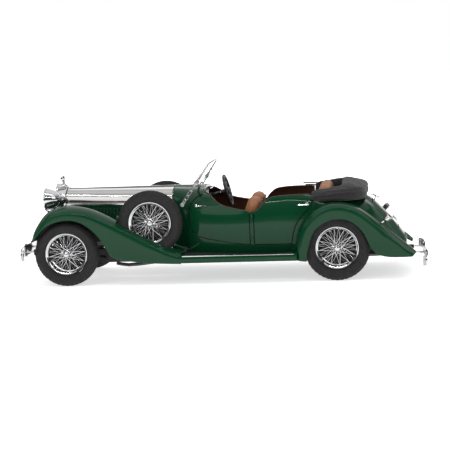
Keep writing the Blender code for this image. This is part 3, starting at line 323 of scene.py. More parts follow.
class Shape:
    """Collects solids in design millimetres, each with a material number, and makes one object of them."""

    def __init__(self):
        self.points, self.faces, self.numbers = [], [], []

    def add(self, points, faces, number=0):
        start = len(self.points)
        self.points += [Vector(p) for p in points]
        self.faces += [tuple(start + i for i in face) for face in faces]
        self.numbers += [number] * len(faces)
        return self

    def grid(self, rows, number=0, closed_columns=False, caps=False):
        rows = np.asarray(rows, float)
        count, columns = rows.shape[:2]
        faces = grid_faces(count, columns, False, closed_columns)
        if caps:
            faces += end_faces(count, columns)
        return self.add(rows.reshape(-1, 3), faces, number)

    def solid(self, rings, number=0):
        """A body through closed rings of points, capped by its end rings."""
        return self.grid(rings, number, True, True)

    def lathe(self, profile, centre, axis=(0, 1, 0), sides=64, number=0, ring=False):
        """A profile of (radius, distance) turned about axis: a ring, or a body closed by its end discs."""
        matrix = turn_to(axis)
        points = []
        for r, h in profile:
            for k in range(sides):
                angle = k * tau / sides
                points.append(Vector(centre) + matrix @ Vector((r * cos(angle), r * sin(angle), h)))
        faces = grid_faces(len(profile), sides, ring, True)
        if not ring:
            faces += end_faces(len(profile), sides)
        return self.add(points, faces, number)

    def tube(self, path, radius, sides=10, number=0, closed=False, flat=1.0, up=(0, 0, 1)):
        """A round or oval tube along a path. radius is a number or one for each point."""
        path = [Vector(p) for p in path]
        count = len(path)
        radii = radius if hasattr(radius, "__len__") else [radius] * count
        points = []
        for i, p in enumerate(path):
            before = path[(i - 1) % count] if closed else path[max(i - 1, 0)]
            after = path[(i + 1) % count] if closed else path[min(i + 1, count - 1)]
            along = (after - before).normalized()
            side = along.cross(Vector(up))
            side = side.normalized() if side.length > 1e-4 else along.orthogonal().normalized()
            rise = side.cross(along)
            for k in range(sides):
                angle = k * tau / sides
                points.append(p + (side * cos(angle) + rise * sin(angle) * flat) * radii[i])
        faces = grid_faces(count, sides, closed, True)
        if not closed:
            faces += end_faces(count, sides)
        return self.add(points, faces, number)

    def bar(self, path, half_width, half_height, number=0, up=(0, 0, 1), corner=0.35):
        """A bar of rounded rectangular section along a path."""
        path = [Vector(p) for p in path]
        w, h, c = half_width, half_height, corner * min(half_width, half_height)
        section = [(-w, -h + c), (-w + c, -h), (w - c, -h), (w, -h + c), (w, h - c), (w - c, h), (-w + c, h),
                   (-w, h - c)]
        rows = []
        for i, p in enumerate(path):
            along = (path[min(i + 1, len(path) - 1)] - path[max(i - 1, 0)]).normalized()
            side = along.cross(Vector(up)).normalized()
            rise = side.cross(along)
            rows.append([p + side * a + rise * b for a, b in section])
        return self.solid(rows, number)

    def box(self, low, high, number=0, round_by=0.25):
        """A box with its edges rounded over."""
        work = bmesh.new()
        bmesh.ops.create_cube(work, size=1)
        for v in work.verts:
            v.co = [low[i] + (v.co[i] + 0.5) * (high[i] - low[i]) for i in range(3)]
        bmesh.ops.bevel(work, geom=work.edges[:], offset=round_by, segments=2, profile=0.5, affect="EDGES")
        work.verts.index_update()
        self.add([v.co.copy() for v in work.verts], [[v.index for v in f.verts] for f in work.faces], number)
        work.free()
        return self

    def on(self, side):
        """This shape, which is drawn on the car's right, on the given side of the car."""
        if side > 0:
            return self
        other = Shape()
        other.points = [Vector((p.x, -p.y, p.z)) for p in self.points]
        other.faces = [face[::-1] for face in self.faces]
        other.numbers = list(self.numbers)
        return other

    def moved(self, matrix):
        other = Shape()
        other.points = [matrix @ p for p in self.points]
        other.faces, other.numbers = list(self.faces), list(self.numbers)
        return other

    def make(self, name, *materials):
        mesh = bpy.data.meshes.new(name)
        mesh.from_pydata([to_world(p) for p in self.points], [], self.faces)
        set_materials(mesh, *materials)
        mesh.polygons.foreach_set("material_index", self.numbers)
        face_outwards(mesh)
        smooth_shading(mesh)
        return new_object(name, mesh)


def place(obj, body, slot, *replaced):
    """Rides an object on a body and hides the CAD nodes it stands for. Its slot argument is not used."""
    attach(obj, body)
    if replaced:
        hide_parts(*replaced)
    return obj


def apply_modifiers(obj):
    """Bakes an object's modifiers into its mesh."""
    graph = bpy.context.evaluated_depsgraph_get()
    baked = bpy.data.meshes.new_from_object(obj.evaluated_get(graph), depsgraph=graph)
    obj.modifiers.clear()
    old = obj.data
    obj.data = baked
    bpy.data.meshes.remove(old)
    return obj


def boolean(obj, other, operation="DIFFERENCE"):
    modifier = obj.modifiers.new(other.name, "BOOLEAN")
    modifier.operation = operation
    modifier.object = other
    modifier.solver = "EXACT"
    return obj


def drop(*objects):
    for obj in objects:
        bpy.data.objects.remove(obj)


def copy_of(obj, name):
    made = obj.copy()
    made.data = obj.data.copy()
    made.name = name
    bpy.context.scene.collection.objects.link(made)
    return made


def widened(outline, distance):
    """The closed outline moved out by distance."""
    area = sum(a[0] * b[1] - b[0] * a[1] for a, b in zip(outline, outline[1:] + outline[:1]))
    turn = 1 if area > 0 else -1
    out = []
    for i, point in enumerate(outline):
        before = (Vector(point) - Vector(outline[i - 1])).normalized()
        after = (Vector(outline[(i + 1) % len(outline)]) - Vector(point)).normalized()
        normals = [Vector((d.y, -d.x)) * turn for d in (before, after)]
        mean = (normals[0] + normals[1]).normalized()
        out.append(tuple(Vector(point) + mean * (distance / max(0.5, mean.dot(normals[0])))))
    return out


def prism(name, outline, low, high, axis="Y"):
    def at(a, b, h):
        return {"Y": (a, h, b), "Z": (a, b, h), "X": (h, a, b)}[axis]

    rows = [[at(a, b, h) for a, b in outline] for h in (low, high)]
    return Shape().solid(rows).make(name, PAINT)


def curve_2d(points, count):
    return [tuple(float(c) for c in p) for p in catmull(points, count)]


# ---------------------------------------------------------------- body, doors and boot lid

# Right half of the body's cross-section at each station, from the top centre to the sill: x, then y and z
# pairs.
BODY_STATIONS = (
    (-15.0, 0, 46.5, 7.0, 46.2, 12.0, 44.8, 14.8, 41.6, 15.7, 37.0, 16.0, 30.0, 16.0, 22.0, 15.2, 14.0),
    (-10.0, 0, 46.4, 8.0, 46.0, 13.6, 44.3, 17.0, 40.6, 18.4, 36.0, 18.9, 29.8, 18.7, 22.0, 17.6, 14.0),
    (-5.8, 0, 46.4, 9.0, 45.9, 15.5, 43.9, 19.8, 40.1, 21.8, 35.6, 22.6, 29.5, 22.4, 21.5, 21.2, 14.0),
    (0.0, 0, 46.4, 10.0, 45.8, 17.0, 43.8, 21.9, 40.0, 24.6, 35.5, 25.7, 29.0, 25.4, 21.0, 24.2, 14.0),
    (7.0, 0, 46.6, 11.0, 46.0, 18.8, 43.9, 24.0, 40.4, 26.8, 35.6, 28.0, 28.8, 27.6, 20.8, 26.2, 14.0),
    (16.0, 0, 47.4, 12.0, 47.0, 20.8, 45.0, 25.8, 41.2, 28.6, 35.5, 29.7, 28.5, 29.2, 20.5, 27.7, 14.0),
    (25.7, 0, 48.0, 12.0, 47.8, 21.5, 46.6, 26.8, 42.0, 29.3, 35.6, 30.2, 28.3, 29.7, 20.3, 28.2, 14.0),
    (36.0, 0, 48.0, 12.0, 47.8, 21.5, 46.8, 26.8, 42.6, 29.4, 35.8, 30.2, 28.2, 29.7, 20.2, 28.3, 14.0),
    (46.0, 0, 48.0, 12.0, 47.8, 21.5, 46.6, 26.6, 42.5, 29.0, 35.8, 29.8, 28.0, 29.3, 20.2, 28.0, 14.0),
    (57.0, 0, 46.0, 12.0, 45.6, 20.5, 44.5, 25.6, 41.2, 27.9, 35.6, 28.6, 28.0, 28.1, 20.2, 27.0, 14.0),
    (68.0, 0, 41.0, 11.0, 40.6, 19.0, 39.8, 24.4, 37.8, 26.6, 33.6, 27.4, 27.0, 27.0, 20.0, 26.0, 14.0),
    (76.0, 0, 39.6, 10.0, 39.4, 17.6, 38.4, 22.8, 35.8, 25.2, 31.6, 25.9, 26.0, 25.6, 19.4, 24.6, 14.0),
    (83.5, 0, 37.8, 9.0, 37.3, 16.0, 35.9, 20.6, 33.2, 23.0, 29.2, 23.9, 24.4, 23.6, 18.4, 22.6, 13.6),
    (90.8, 0, 31.2, 8.0, 30.7, 14.0, 29.2, 18.0, 26.7, 20.4, 23.4, 21.5, 19.8, 21.3, 16.2, 20.5, 13.0),
    (97.0, 0, 24.1, 7.0, 23.7, 12.0, 22.5, 15.5, 20.6, 17.8, 18.4, 18.6, 16.1, 18.4, 14.2, 18.0, 12.5),
    (100.6, 0, 19.4, 6.0, 19.1, 10.5, 18.3, 13.5, 17.1, 15.2, 15.7, 15.8, 14.4, 15.8, 13.2, 15.5, 12.3),
)
DOOR_LINE = ((1.0, 44.2), (3.2, 43.3), (6.2, 41.0), (8.8, 38.9), (11.8, 37.5), (15.6, 36.5), (20.6, 35.5),
             (24.4, 34.8), (26.9, 34.8), (29.4, 36.0), (31.6, 38.7), (34.9, 41.0), (40.0, 41.8), (47.0, 42.1))
FRONT_DOOR_CURVE = ((16.0, 19.6), (6.0, 21.2), (-1.5, 23.0), (-4.5, 25.6), (-5.8, 29.6), (-6.0, 34.0),
                    (-5.0, 38.2), (-2.0, 41.6), (2.0, 43.3))
REAR_DOOR_CURVE = ((55.4, 39.6), (54.2, 36.2), (50.6, 32.6), (47.4, 28.2), (45.6, 23.0), (44.8, 18.6))
FRONT_DOOR = [(24.4, 60.0), (24.4, 18.6), *curve_2d(FRONT_DOOR_CURVE, 41), (2.0, 60.0)]
REAR_DOOR = [(55.4, 60.0), *curve_2d(REAR_DOOR_CURVE, 31), (26.9, 18.6), (26.9, 60.0)]
PAST_SKIN_Y = 34
BOOT_CUT_Z = (18, 60)
BOOT_OUTLINE = [(85.2, -10.5), (97.4, -9.0), (97.4, 9.0), (85.2, 10.5)]
DECK_Z = 38.6
DECK_FRONT_X = 54.9
COCKPIT_FRONT_X = 1.0
BULKHEAD_X = 66.5
REAR_CAVITY_Y = 23.6
SEAT_PAN_Z = 21.6
SECTIONS = np.array([[(row[0], row[i], row[i + 1]) for i in range(1, 17, 2)] for row in BODY_STATIONS])


def half_section(x):
    row = between(BODY_STATIONS, x)
    return [(row[i], row[i + 1]) for i in range(0, len(row), 2)]


def full_ring(half):
    """A right half, from the top centre to the sill, made whole from the left sill over the top to the
    right."""
    half = np.asarray(half, float)
    left = half[:0:-1] * (1, -1, 1)
    return np.concatenate([left, half])


def outer_rows(along=151, across=85):
    return refine(np.array([full_ring(half) for half in SECTIONS]), along, across)


def inside(half, thickness):
    out = []
    for i, point in enumerate(half):
        before, after = Vector(half[max(i - 1, 0)]), Vector(half[min(i + 1, len(half) - 1)])
        along = (after - before).normalized()
        y, z = Vector(point) + Vector((along.y, -along.x)) * thickness
        out.append((0.0 if i == 0 else max(y, 0.5), z))
    y, z = half[-1]
    out[-1] = (y - thickness, z + thickness)
    return out


def cavity_rows(steps, floor_z):
    rows = []
    for x in steps:
        half = inside(half_section(x), WALL)
        narrow_from = 8 if x < 49 else 5 if x < 56 else 4
        floor = floor_z if x > 55 else 0
        half = [(x, min(y, REAR_CAVITY_Y) if k >= narrow_from else y, max(z, floor + 0.3 * (8 - k)))
                for k, (y, z) in enumerate(half)]
        ring = full_ring(half)
        if x < 49:
            rows.append(catmull(ring, 57))
            continue
        steps_round = np.linspace(0, len(ring) - 1, 57)
        rows.append(np.stack([np.interp(steps_round, np.arange(len(ring)), ring[:, i]) for i in range(3)],
                             axis=1))
    return rows


def body_solid(name):
    """The hollow body with no panel cut out of it."""
    rows = outer_rows()
    tail = rows[-1]
    centre = tail.mean(axis=0)
    closing = [centre + (tail - centre) * s + (push, 0, 0) for s,
               push in ((0.965, 0.45), (0.88, 0.8), (0.6, 1.0))]
    body = Shape().solid(np.concatenate([rows, closing])).make(name, PAINT)
    cabin_steps = [-13.7, -10, -5.8, 0, 3.5, 7, 11.5, 16, 21, 25.7, 31, 36, 41, 46, 50, 57, BULKHEAD_X]
    cabin = Shape().solid(cavity_rows(cabin_steps, SEAT_PAN_Z))
    cabin = cabin.make("cut_cabin", BROWN_TRIM)
    boot_rows = [catmull(full_ring([(x, y, z) for y, z in inside(half_section(x), WALL)]), 57)
                 for x in (72.8, 76, 80, 83.5, 87.4, 90.8, 94, 98.2)]
    boot = Shape().solid(boot_rows).make("cut_boot", BROWN_TRIM)
    outline = [(COCKPIT_FRONT_X, 60), *curve_2d(DOOR_LINE, 66), (DECK_FRONT_X, 42.1), (DECK_FRONT_X, DECK_Z),
               (86.0, DECK_Z), (86.0, 60)]
    cockpit = prism("cut_cockpit", outline, -45, 45)
    for cutter in (cabin, cockpit, boot):
        boolean(body, cutter)
    apply_modifiers(body)
    drop(cabin, boot, cockpit)
    return body


def trim_inner_faces(obj):
    """Gives the cabin side of a body panel the brown trim and the cabin floor a carpet."""
    set_materials(obj.data, PAINT, BROWN_TRIM, CARPET)
    for face in obj.data.polygons:
        x, y, z = to_design(face.center)
        normal = face.normal
        inner = normal.y * y < 0 and abs(normal.y) > 0.3 or normal.z < -0.3 and z > 30
        end_wall = abs(normal.x) > 0.9 and 15 < z < 42 and abs(y) < 26 and (-14 < x < -12 or 66 < x < 67)
        paint, trim, carpet = 0, 1, 2
        face.material_index = paint
        if -14 < x < BULKHEAD_X + 0.3 and z > 14.8 and inner:
            face.material_index = trim
        if -14 < x < BULKHEAD_X and normal.z > 0.7 and z < 24:
            face.material_index = carpet
        if end_wall:
            face.material_index = trim


def finish_panel(obj):
    """Trims a panel's inside and rounds its cut edges."""
    trim_inner_faces(obj)
    smooth_shading(obj.data, 28)
    rounding = obj.modifiers.new("edge", "BEVEL")
    rounding.width = PANEL_EDGE * MM
    rounding.segments = 2
    rounding.limit_method = "ANGLE"
    rounding.angle_limit = radians(50)
    return obj


def cut_out(solid, keep, name):
    """The part of a solid that lies inside keep, as a new object."""
    panel = copy_of(solid, name)
    apply_modifiers(boolean(panel, keep, "INTERSECT"))
    drop(keep)
    return panel


def make_body():
    """The tub with its openings cut out, and the doors and boot lid cut from the same skin."""
    solid = body_solid("body_solid")
    tub = copy_of(solid, "body_shell")
    cutters = []
    for side, name in SIDES:
        panels = (("front", FRONT_DOOR, 14.5, 14.1), ("rear", REAR_DOOR, 25.07, 21.0))
        for which, outline, inner, cut_inner in panels:
            near, far = sorted((side * cut_inner, side * PAST_SKIN_Y))
            cutter = prism(f"cut_{which}_{name}", widened(outline, GAP), near, far)
            cutters.append(cutter)
            boolean(tub, cutter)
            near, far = sorted((side * inner, side * PAST_SKIN_Y))
            keep = prism(f"keep_{which}_{name}", outline, near, far)
            door = cut_out(solid, keep, f"door_{which}_skin_{name}")
            place(finish_panel(door), f"door_{which}_{name}", "green_paint", f"door_{which}_{name}")
        start, end = sorted((side * 25.3, side * 42))
        radius = TYRE_RADIUS + REAR_WELL_CLEARANCE
        well = Shape().lathe([(radius, start), (radius, end)], (REAR_AXLE_X, 0, AXLE_Z))
        well = well.make(f"cut_well_{name}", PAINT)
        cutters.append(well)
        boolean(tub, well)
    tunnel = Shape().lathe([(4.1, -45), (4.1, 45)], (REAR_AXLE_X, 0, AXLE_Z), sides=32)
    tunnel = tunnel.make("cut_tunnel", PAINT)
    opening = prism("cut_boot_opening", widened(BOOT_OUTLINE, GAP), *BOOT_CUT_Z, "Z")
    boolean(tub, tunnel)
    boolean(tub, opening)
    apply_modifiers(tub)
    drop(tunnel, opening, *cutters)
    place(finish_panel(tub), "car", "green_paint", "body_tub")
    lid = cut_out(solid, prism("keep_boot", BOOT_OUTLINE, *BOOT_CUT_Z, "Z"), "boot_lid_skin")
    drop(solid)
    place(finish_panel(lid), "boot_lid", "green_paint", "boot_lid")


# ---------------------------------------------------------------- wings and running boards

FRONT_WING = (
    ((-84.9, 22.8), (-83.4, 23.4), (-84.4, 22.6, 22.7)),
    ((-83.6, 27.4), (-80.9, 26.3), (-82.9, 21.6, 26.2)),
    ((-81.0, 32.0), (-78.3, 29.0), (-80.2, 20.0, 29.4)),
    ((-77.5, 36.1), (-75.2, 31.3), (-77.2, 17.8, 30.6)),
    ((-73.0, 38.7), (-71.0, 32.9), (-73.0, 15.0, 30.4)),
    ((-67.0, 39.9), (-66.0, 33.7), (-67.0, 12.6, 29.7)),
    ((-61.0, 39.7), (-61.2, 33.2), (-61.0, 12.4, 29.6)),
    ((-55.2, 38.5), (-56.8, 31.3), (-55.0, 12.9, 29.5)),
    ((-49.4, 36.2), (-52.3, 27.8), (-49.0, 13.6, 29.2)),
    ((-43.4, 33.2), (-48.8, 23.6), (-43.0, 14.2, 28.4)),
    ((-37.4, 29.9), (-45.7, 18.2), (-37.0, 14.9, 26.6)),
    ((-31.4, 26.6), (-42.2, 14.4), (-31.0, 15.6, 24.4)),
    ((-25.8, 23.7), (-34.0, 12.6), (-25.5, 16.2, 22.0)),
    ((-20.0, 20.9), (-25.5, 11.6), (-20.0, 16.9, 19.8)),
    ((-14.4, 18.4), (-17.2, 11.1), (-14.4, 17.4, 17.6)),
    ((-9.3, 16.5), (-9.3, 10.8), (-9.3, 19.9, 15.9)),
)
REAR_WING = (
    ((46.8, 10.9), (52.0, 10.3), (46.9, 30.4, 11.0)),
    ((47.2, 16.2), (52.4, 14.6), (47.4, 30.4, 16.1)),
    ((48.2, 21.6), (53.8, 20.4), (48.6, 30.5, 21.2)),
    ((50.2, 27.3), (56.0, 24.9), (50.8, 30.2, 26.7)),
    ((53.7, 32.3), (59.2, 27.9), (54.4, 29.5, 31.4)),
    ((58.0, 35.9), (63.0, 29.9), (58.6, 28.7, 34.9)),
    ((63.0, 38.0), (66.0, 30.7), (63.3, 28.1, 36.9)),
    ((68.3, 38.5), (69.0, 30.8), (68.3, 27.4, 37.2)),
    ((73.7, 37.6), (73.0, 30.1), (73.5, 26.5, 36.2)),
    ((78.8, 35.3), (77.3, 27.3), (78.5, 25.9, 33.7)),
    ((84.0, 31.7), (80.6, 23.4), (83.5, 24.7, 29.8)),
    ((89.3, 27.3), (83.0, 18.4), (88.6, 23.2, 25.2)),
    ((94.5, 22.6), (86.0, 13.9), (93.8, 21.1, 20.6)),
    ((99.4, 18.3), (91.0, 12.0), (98.8, 18.9, 16.6)),
    ((103.2, 15.0), (97.5, 11.5), (102.8, 18.4, 13.9)),
    ((105.6, 12.8), (103.5, 11.5), (105.3, 19.0, 12.4)),
)


def wing_row(crown, edge, inner, crown_y, outer_y, ridge_depth):
    """One cross-section of a wing, from its lower outer edge over the crown to its inner edge."""
    crown, edge = Vector(crown), Vector(edge)
    ridge = min(0.75, ridge_depth / max((edge - crown).length, 0.1))
    shape = ((0, 1.0), (0.0, 0.55 + 0.45 * ridge), (0.03, ridge), (0.18, ridge * 0.62), (0.5, ridge * 0.24),
             (1, 0.0))
    row = []
    for across, depth in shape:
        x, z = crown + (edge - crown) * depth
        row.append((x, outer_y + (crown_y - outer_y) * across, z))
    for t in (0.3, 0.62, 1.0):
        bend = t ** 1.55
        row.append((crown.x + (inner[0] - crown.x) * bend, crown_y + (inner[1] - crown_y) * t,
                    crown.y + (inner[2] - crown.y) * bend))
    return row


def thick_sheet(rows, thickness, toward):
    """A closed sheet: the grid, a copy moved in by thickness, and a rim that joins them."""
    rows = np.asarray(rows, float)
    du = np.gradient(rows, axis=0)
    dv = np.gradient(rows, axis=1)
    normal = np.cross(du, dv)
    normal /= np.maximum(np.linalg.norm(normal, axis=2, keepdims=True), 1e-9)
    away = np.sum(normal * (rows - np.array(toward)), axis=2)
    if np.median(away) > 0:
        normal = -normal
    under = rows + normal * thickness
    r, c = rows.shape[:2]
    shape = Shape()
    top = grid_faces(r, c)
    faces = top + [tuple(i + r * c for i in face[::-1]) for face in top]
    border = list(range(c)) + [i * c + c - 1 for i in range(1, r)]
    border += [(r - 1) * c + k for k in range(c - 2, -1, -1)] + [i * c for i in range(r - 2, 0, -1)]
    for a, b in zip(border, border[1:] + border[:1]):
        faces.append((a, b, b + r * c, a + r * c))
    return shape.add(np.concatenate([rows.reshape(-1, 3), under.reshape(-1, 3)]), faces)


def make_wings():
    """Pressed wings with a wired edge along the outer skirt. The front pair are open where the spares sit."""
    for side, name in SIDES:
        rows = np.array([wing_row(*row, 28.8, WING_OUTER_Y - (1.5 if k == 0 else 0.15), 3.0)
                         for k, row in enumerate(FRONT_WING)])
        rows = refine(rows, 121, 49)
        front = thick_sheet(rows, WING_WALL, (FRONT_AXLE_X, 26, 10))
        front_edge = Shape().tube(rows[:, 0] - (0, 0.45, -0.1), 0.42, 8).tube(rows[0], 0.42, 8)
        rows = []
        for k, row in enumerate(REAR_WING):
            outer = WING_OUTER_Y - (0.15 if k < 13 else 0.8 * (k - 12))
            rows.append(wing_row(*row, (row[2][1] + outer) / 2 - 0.6, outer, 2.6))
        rows = refine(np.array(rows), 121, 49)
        rear = thick_sheet(rows, WING_WALL, (REAR_AXLE_X, 26, 10)).tube(rows[:, 0] - (0, 0.45, -0.1), 0.42, 8)
        front = front.on(side).make(f"front_wing_panel_{name}", PAINT)
        radius, half = TYRE_RADIUS + SPARE_WELL_CLEARANCE, TYRE_HALF + 0.5
        well = Shape().lathe([(radius, -half), (radius, half)], (SPARE.x, side * SPARE.y, SPARE.z),
                             sides=96).make(f"cut_spare_{name}", PAINT)
        apply_modifiers(boolean(front, well))
        drop(well)
        absorb(front, front_edge.on(side).make(f"front_wing_edge_{name}", PAINT))
        inner = np.array([row[2] for row in FRONT_WING[:10]])
        rows = []
        for share in (0.0, 0.35, 0.7, 1.0):
            low = np.minimum(inner - (0, 0, 0.5), (200, 14.8, 20.2))
            rows.append(inner * (1 - share) + low * share - (0, 0, 0.4))
        valance = thick_sheet(refine(np.array(rows).swapaxes(0, 1), 41, 9), 0.5, (FRONT_AXLE_X, 30, 16))
        place(valance.on(side).make(f"front_wing_valance_{name}", CHASSIS_BLACK), "car", "black_metal")
        place(front, "car", "green_paint", f"front_wing_{name}")
        place(rear.on(side).make(f"rear_wing_panel_{name}", PAINT), "car", "green_paint", f"rear_wing_{name}")


def absorb(obj, other):
    """Joins another object's mesh to this one."""
    work = bmesh.new()
    work.from_mesh(obj.data)
    work.from_mesh(other.data)
    work.to_mesh(obj.data)
    work.free()
    drop(other)
    smooth_shading(obj.data)


def make_running_boards():
    """Painted boards with a ribbed rubber mat and a bright edge strip."""
    for side, name in SIDES:
        rows = []
        for x in np.linspace(-10.6, 47.6, 42):
            body_y = half_section(x)[6][0] + 0.3
            section = [(body_y, 14.5), (34.6, 14.6), (35.6, 14.45), (36.2, 14.0), (36.4, 12.8), (36.3, 10.9),
                       (body_y, 10.9)]
            rows.append([(x, y, z) for y, z in section])
        board = Shape().solid(rows)
        for k in range(7):
            path = [(x, half_section(x)[6][0] + 1.5 + (33.2 - half_section(x)[6][0] - 1.5) * k / 6, 14.62)
                    for x in np.linspace(-7.8, 45.2, 30)]
            board.bar(path, 0.32, 0.16, 1)
        board.tube([(x, 36.15, 14.25) for x in np.linspace(-8.7, 46.1, 12)], 0.3, 8, 2)
        place(board.on(side).make(f"running_board_panel_{name}", PAINT, RUBBER, CHROME), "car", "green_paint",
              f"running_board_{name}")


# ---------------------------------------------------------------- bonnet and radiator

BONNET_FRONT_X = -70.8
BONNET_REAR_X = -15.4
BONNET_TOP_Z = 46.5
BONNET_SPLIT_Z = 38.6
BONNET_BASE_Z = 30.3
LOUVRES = 26
LOUVRE_PITCH = 1.76


def bonnet_width(x):
    return between(((-77.0, 9.2), (BONNET_FRONT_X, 9.8), (-40.0, 13.6), (BONNET_REAR_X, 15.7)), x)[0]


def bonnet_section(width):
    points = [(0.2, BONNET_TOP_Z), (width * 0.42, BONNET_TOP_Z - 0.35), (width * 0.74, BONNET_TOP_Z - 1.5),
              (width * 0.92, BONNET_TOP_Z - 3.7), (width * 0.985, BONNET_TOP_Z - 6.0),
              (width, BONNET_SPLIT_Z)]
    return catmull(points, 31)


def make_bonnet():
    """Polished top panels, a centre hinge, a bright moulding and green sides with pressed louvres."""
    steps = np.linspace(BONNET_FRONT_X, BONNET_REAR_X, 61)
    for side, name in SIDES:
        rows = np.array([[(x, y, z) for y, z in bonnet_section(bonnet_width(x))] for x in steps])
        top = thick_sheet(rows, 0.7, (-43, 8, 30))
        top.bar([(x, bonnet_width(x) + 0.12, BONNET_SPLIT_Z + 0.15) for x in steps], 0.32, 0.42)
        for k in range(22):
            x = BONNET_FRONT_X + 1.3 + k * 2.5
            top.tube([(x, 0.28, BONNET_TOP_Z - 0.28), (x + 2.1, 0.28, BONNET_TOP_Z - 0.28)], 0.22, 8)
        levels = np.linspace(BONNET_SPLIT_Z - 0.4, BONNET_BASE_Z, 8)
        panel = np.array([[(x, bonnet_width(x), z) for z in levels] for x in steps])
        sides = thick_sheet(panel, 0.7, (-43, 0, 34))
        for k in range(LOUVRES):
            x = -65.6 + k * LOUVRE_PITCH
            y = bonnet_width(x)
            rear = bonnet_width(x + 0.95)
            rise = []
            for t in np.linspace(0, 1, 9):
                z = 33.0 + 3.9 * t
                swell = min(1.0, 3.2 * sqrt(max(0.0, t * (1 - t))))
                rise.append([(x, y - 0.05, z), (x + 0.35, y + 0.28 * swell, z),
                             (x + 0.75, rear + 0.5 * swell, z),
                             (x + 0.95, rear + 0.5 * swell, z), (x + 0.95, rear - 0.05, z)])
            sides.solid(rise)
            # A near-black block fills each louvre's opening: painted shade where the dark engine bay would show
            # through.
            slot = ((x + 0.96, rear - 0.02, 33.3), (x + 1.18, rear + 0.03, 33.3),
                    (x + 1.18, rear + 0.03, 36.6),
                    (x + 0.96, rear - 0.02, 36.6))
            sides.add([(a, b - depth, c) for depth in (0, 0.3) for a, b, c in slot],
                      [(0, 1, 2, 3), (7, 6, 5, 4), (0, 4, 5, 1), (1, 5, 6, 2), (2, 6, 7, 3), (3, 7, 4, 0)], 1)
        for x in (-66.5, -44.0, -21.0):
            y = bonnet_width(x)
            sides.bar([(x, y + 0.35, 30.9), (x, y + 0.55, 32.0), (x, y + 0.35, 33.0)], 0.45, 0.22, 2,
                      (0, 1, 0))
        place(top.on(side).make(f"bonnet_top_panel_{name}", ALUMINIUM), f"bonnet_{name}",
              "polished_aluminium",
              f"bonnet_top_{name}")
        place(sides.on(side).make(f"bonnet_side_panel_{name}", PAINT, NEAR_BLACK_AND_SHADE, CHROME), f"bonnet_{name}",
              "green_paint",
              f"bonnet_side_{name}")


def radiator_half(width, top, base=20.5):
    return [(0, top), (width * 0.45, top - 0.4), (width * 0.8, top - 1.9), (width, top - 5.0),
            (width * 0.985, 32.0), (width * 0.9, base)]


def radiator_ring(x, width, top, base=20.5, count=61):
    half = [(x, y, z) for y, z in radiator_half(width, top, base)]
    return catmull(full_ring(half), count)


def make_radiator():
    """A plated shell round a slatted grille, with a filler cap and an upright fin."""
    rings = [radiator_ring(-71.1, 9.7, 47.0), radiator_ring(-71.3, 10.0, 47.3),
             radiator_ring(-75.2, 9.9, 47.2),
             radiator_ring(-76.1, 9.55, 46.85), radiator_ring(-76.6, 8.9, 46.2),
             radiator_ring(-76.4, 8.2, 45.5, 21.4),
             radiator_ring(-75.6, 7.9, 45.1, 21.8), radiator_ring(-73.4, 7.8, 45.0, 21.9)]
    shell = Shape().solid(rings)
    shell.bar([(-72.0, y, 21.0) for y in np.linspace(-8.8, 8.8, 9)], 3.4, 0.6)
    place(shell.make("radiator_shell_plate", CHROME), "car", "chrome", "radiator_shell")
    core = Shape().solid([radiator_ring(-73.5, 7.4, 44.6, 22.3), radiator_ring(-73.9, 7.4, 44.6, 22.3)], 1)
    for k in range(17):
        y = -6.8 + k * 0.85
        top = 44.3 - 0.035 * y * y - (0.9 if abs(y) > 5 else 0)
        core.bar([(-74.6, y, z) for z in np.linspace(22.4, top, 6)], 0.14, 0.5, 0, (1, 0, 0))
    core.bar([(-75.3, 0, z) for z in np.linspace(22.2, 44.4, 6)], 0.35, 0.3, 0, (1, 0, 0))
    place(core.make("radiator_slats", CHROME, BLACK), "car", "black_plastic", "radiator_grille")
    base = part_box("radiator_mascot")[0].z / MM
    profile = [(1.7, 0), (1.9, 0.12), (1.95, 0.5), (1.75, 0.8), (1.2, 0.95), (1.05, 1.3), (0.65, 1.5),
               (0.55, 1.9), (0.75, 2.3), (0.85, 2.5), (0.45, 2.7)]
    cap = Shape().lathe(profile, (-73.9, 0, base), (0, 0, 1), 40)
    fin = []
    for t in np.linspace(0, 1, 17):
        width = 0.95 * sin(pi * (0.14 + 0.8 * t)) ** 0.6
        z = base + 2.4 + 3.1 * t
        x = -74.5 + 0.5 * t * t
        fin.append([(x + 1.35 * width * cos(a), 0.6 * width * sin(a), z)
                    for a in np.linspace(0, tau, 17)[:-1]])
    cap.solid(fin)
    for k in range(8):
        x, y = -73.9 + 1.9 * cos(k * tau / 8), 1.9 * sin(k * tau / 8)
        cap.tube([(x, y, base + 0.1), (x, y, base + 0.6)], 0.16, 6)
    place(cap.make("radiator_cap_and_fin", CHROME), "car", "chrome", "radiator_mascot")


# ---------------------------------------------------------------- wheels

def tyre_shape():
    """A tyre about the Y axis at the origin: ribbed tread, rounded shoulders and ringed sidewalls."""
    outline = [(10.75, 0.72), (11.2, 0.9), (11.9, 0.985), (12.05, 1.0), (12.2, 0.97), (13.2, 1.0),
               (14.1, 0.965), (14.2, 0.985), (14.4, 0.95), (15.1, 0.83), (15.45, 0.74), (15.55, 0.72),
               (15.78, 0.64), (15.85, 0.57), (15.62, 0.53), (15.62, 0.49), (16.0, 0.46), (16.05, 0.22),
               (15.72, 0.19), (15.72, 0.13), (16.1, 0.10)]
    outline += [(r, -u) for r, u in outline[::-1]]
    sides = 168
    points = []
    for r, u in outline:
        for k in range(sides):
            angle = (k + 0.5) * tau / sides
            cut = 0.0
            if 0.55 < abs(u) < 0.8 and r > 15.2 and k % 3 == 0:
                cut = 0.28
            if abs(u) < 0.48 and r > 15.9 and k % 4 == (0 if u > 0 else 2):
                cut = 0.22
            points.append(((r - cut) * cos(angle), u * TYRE_HALF, (r - cut) * sin(angle)))
    return Shape().add(points, grid_faces(len(outline), sides, True, True))


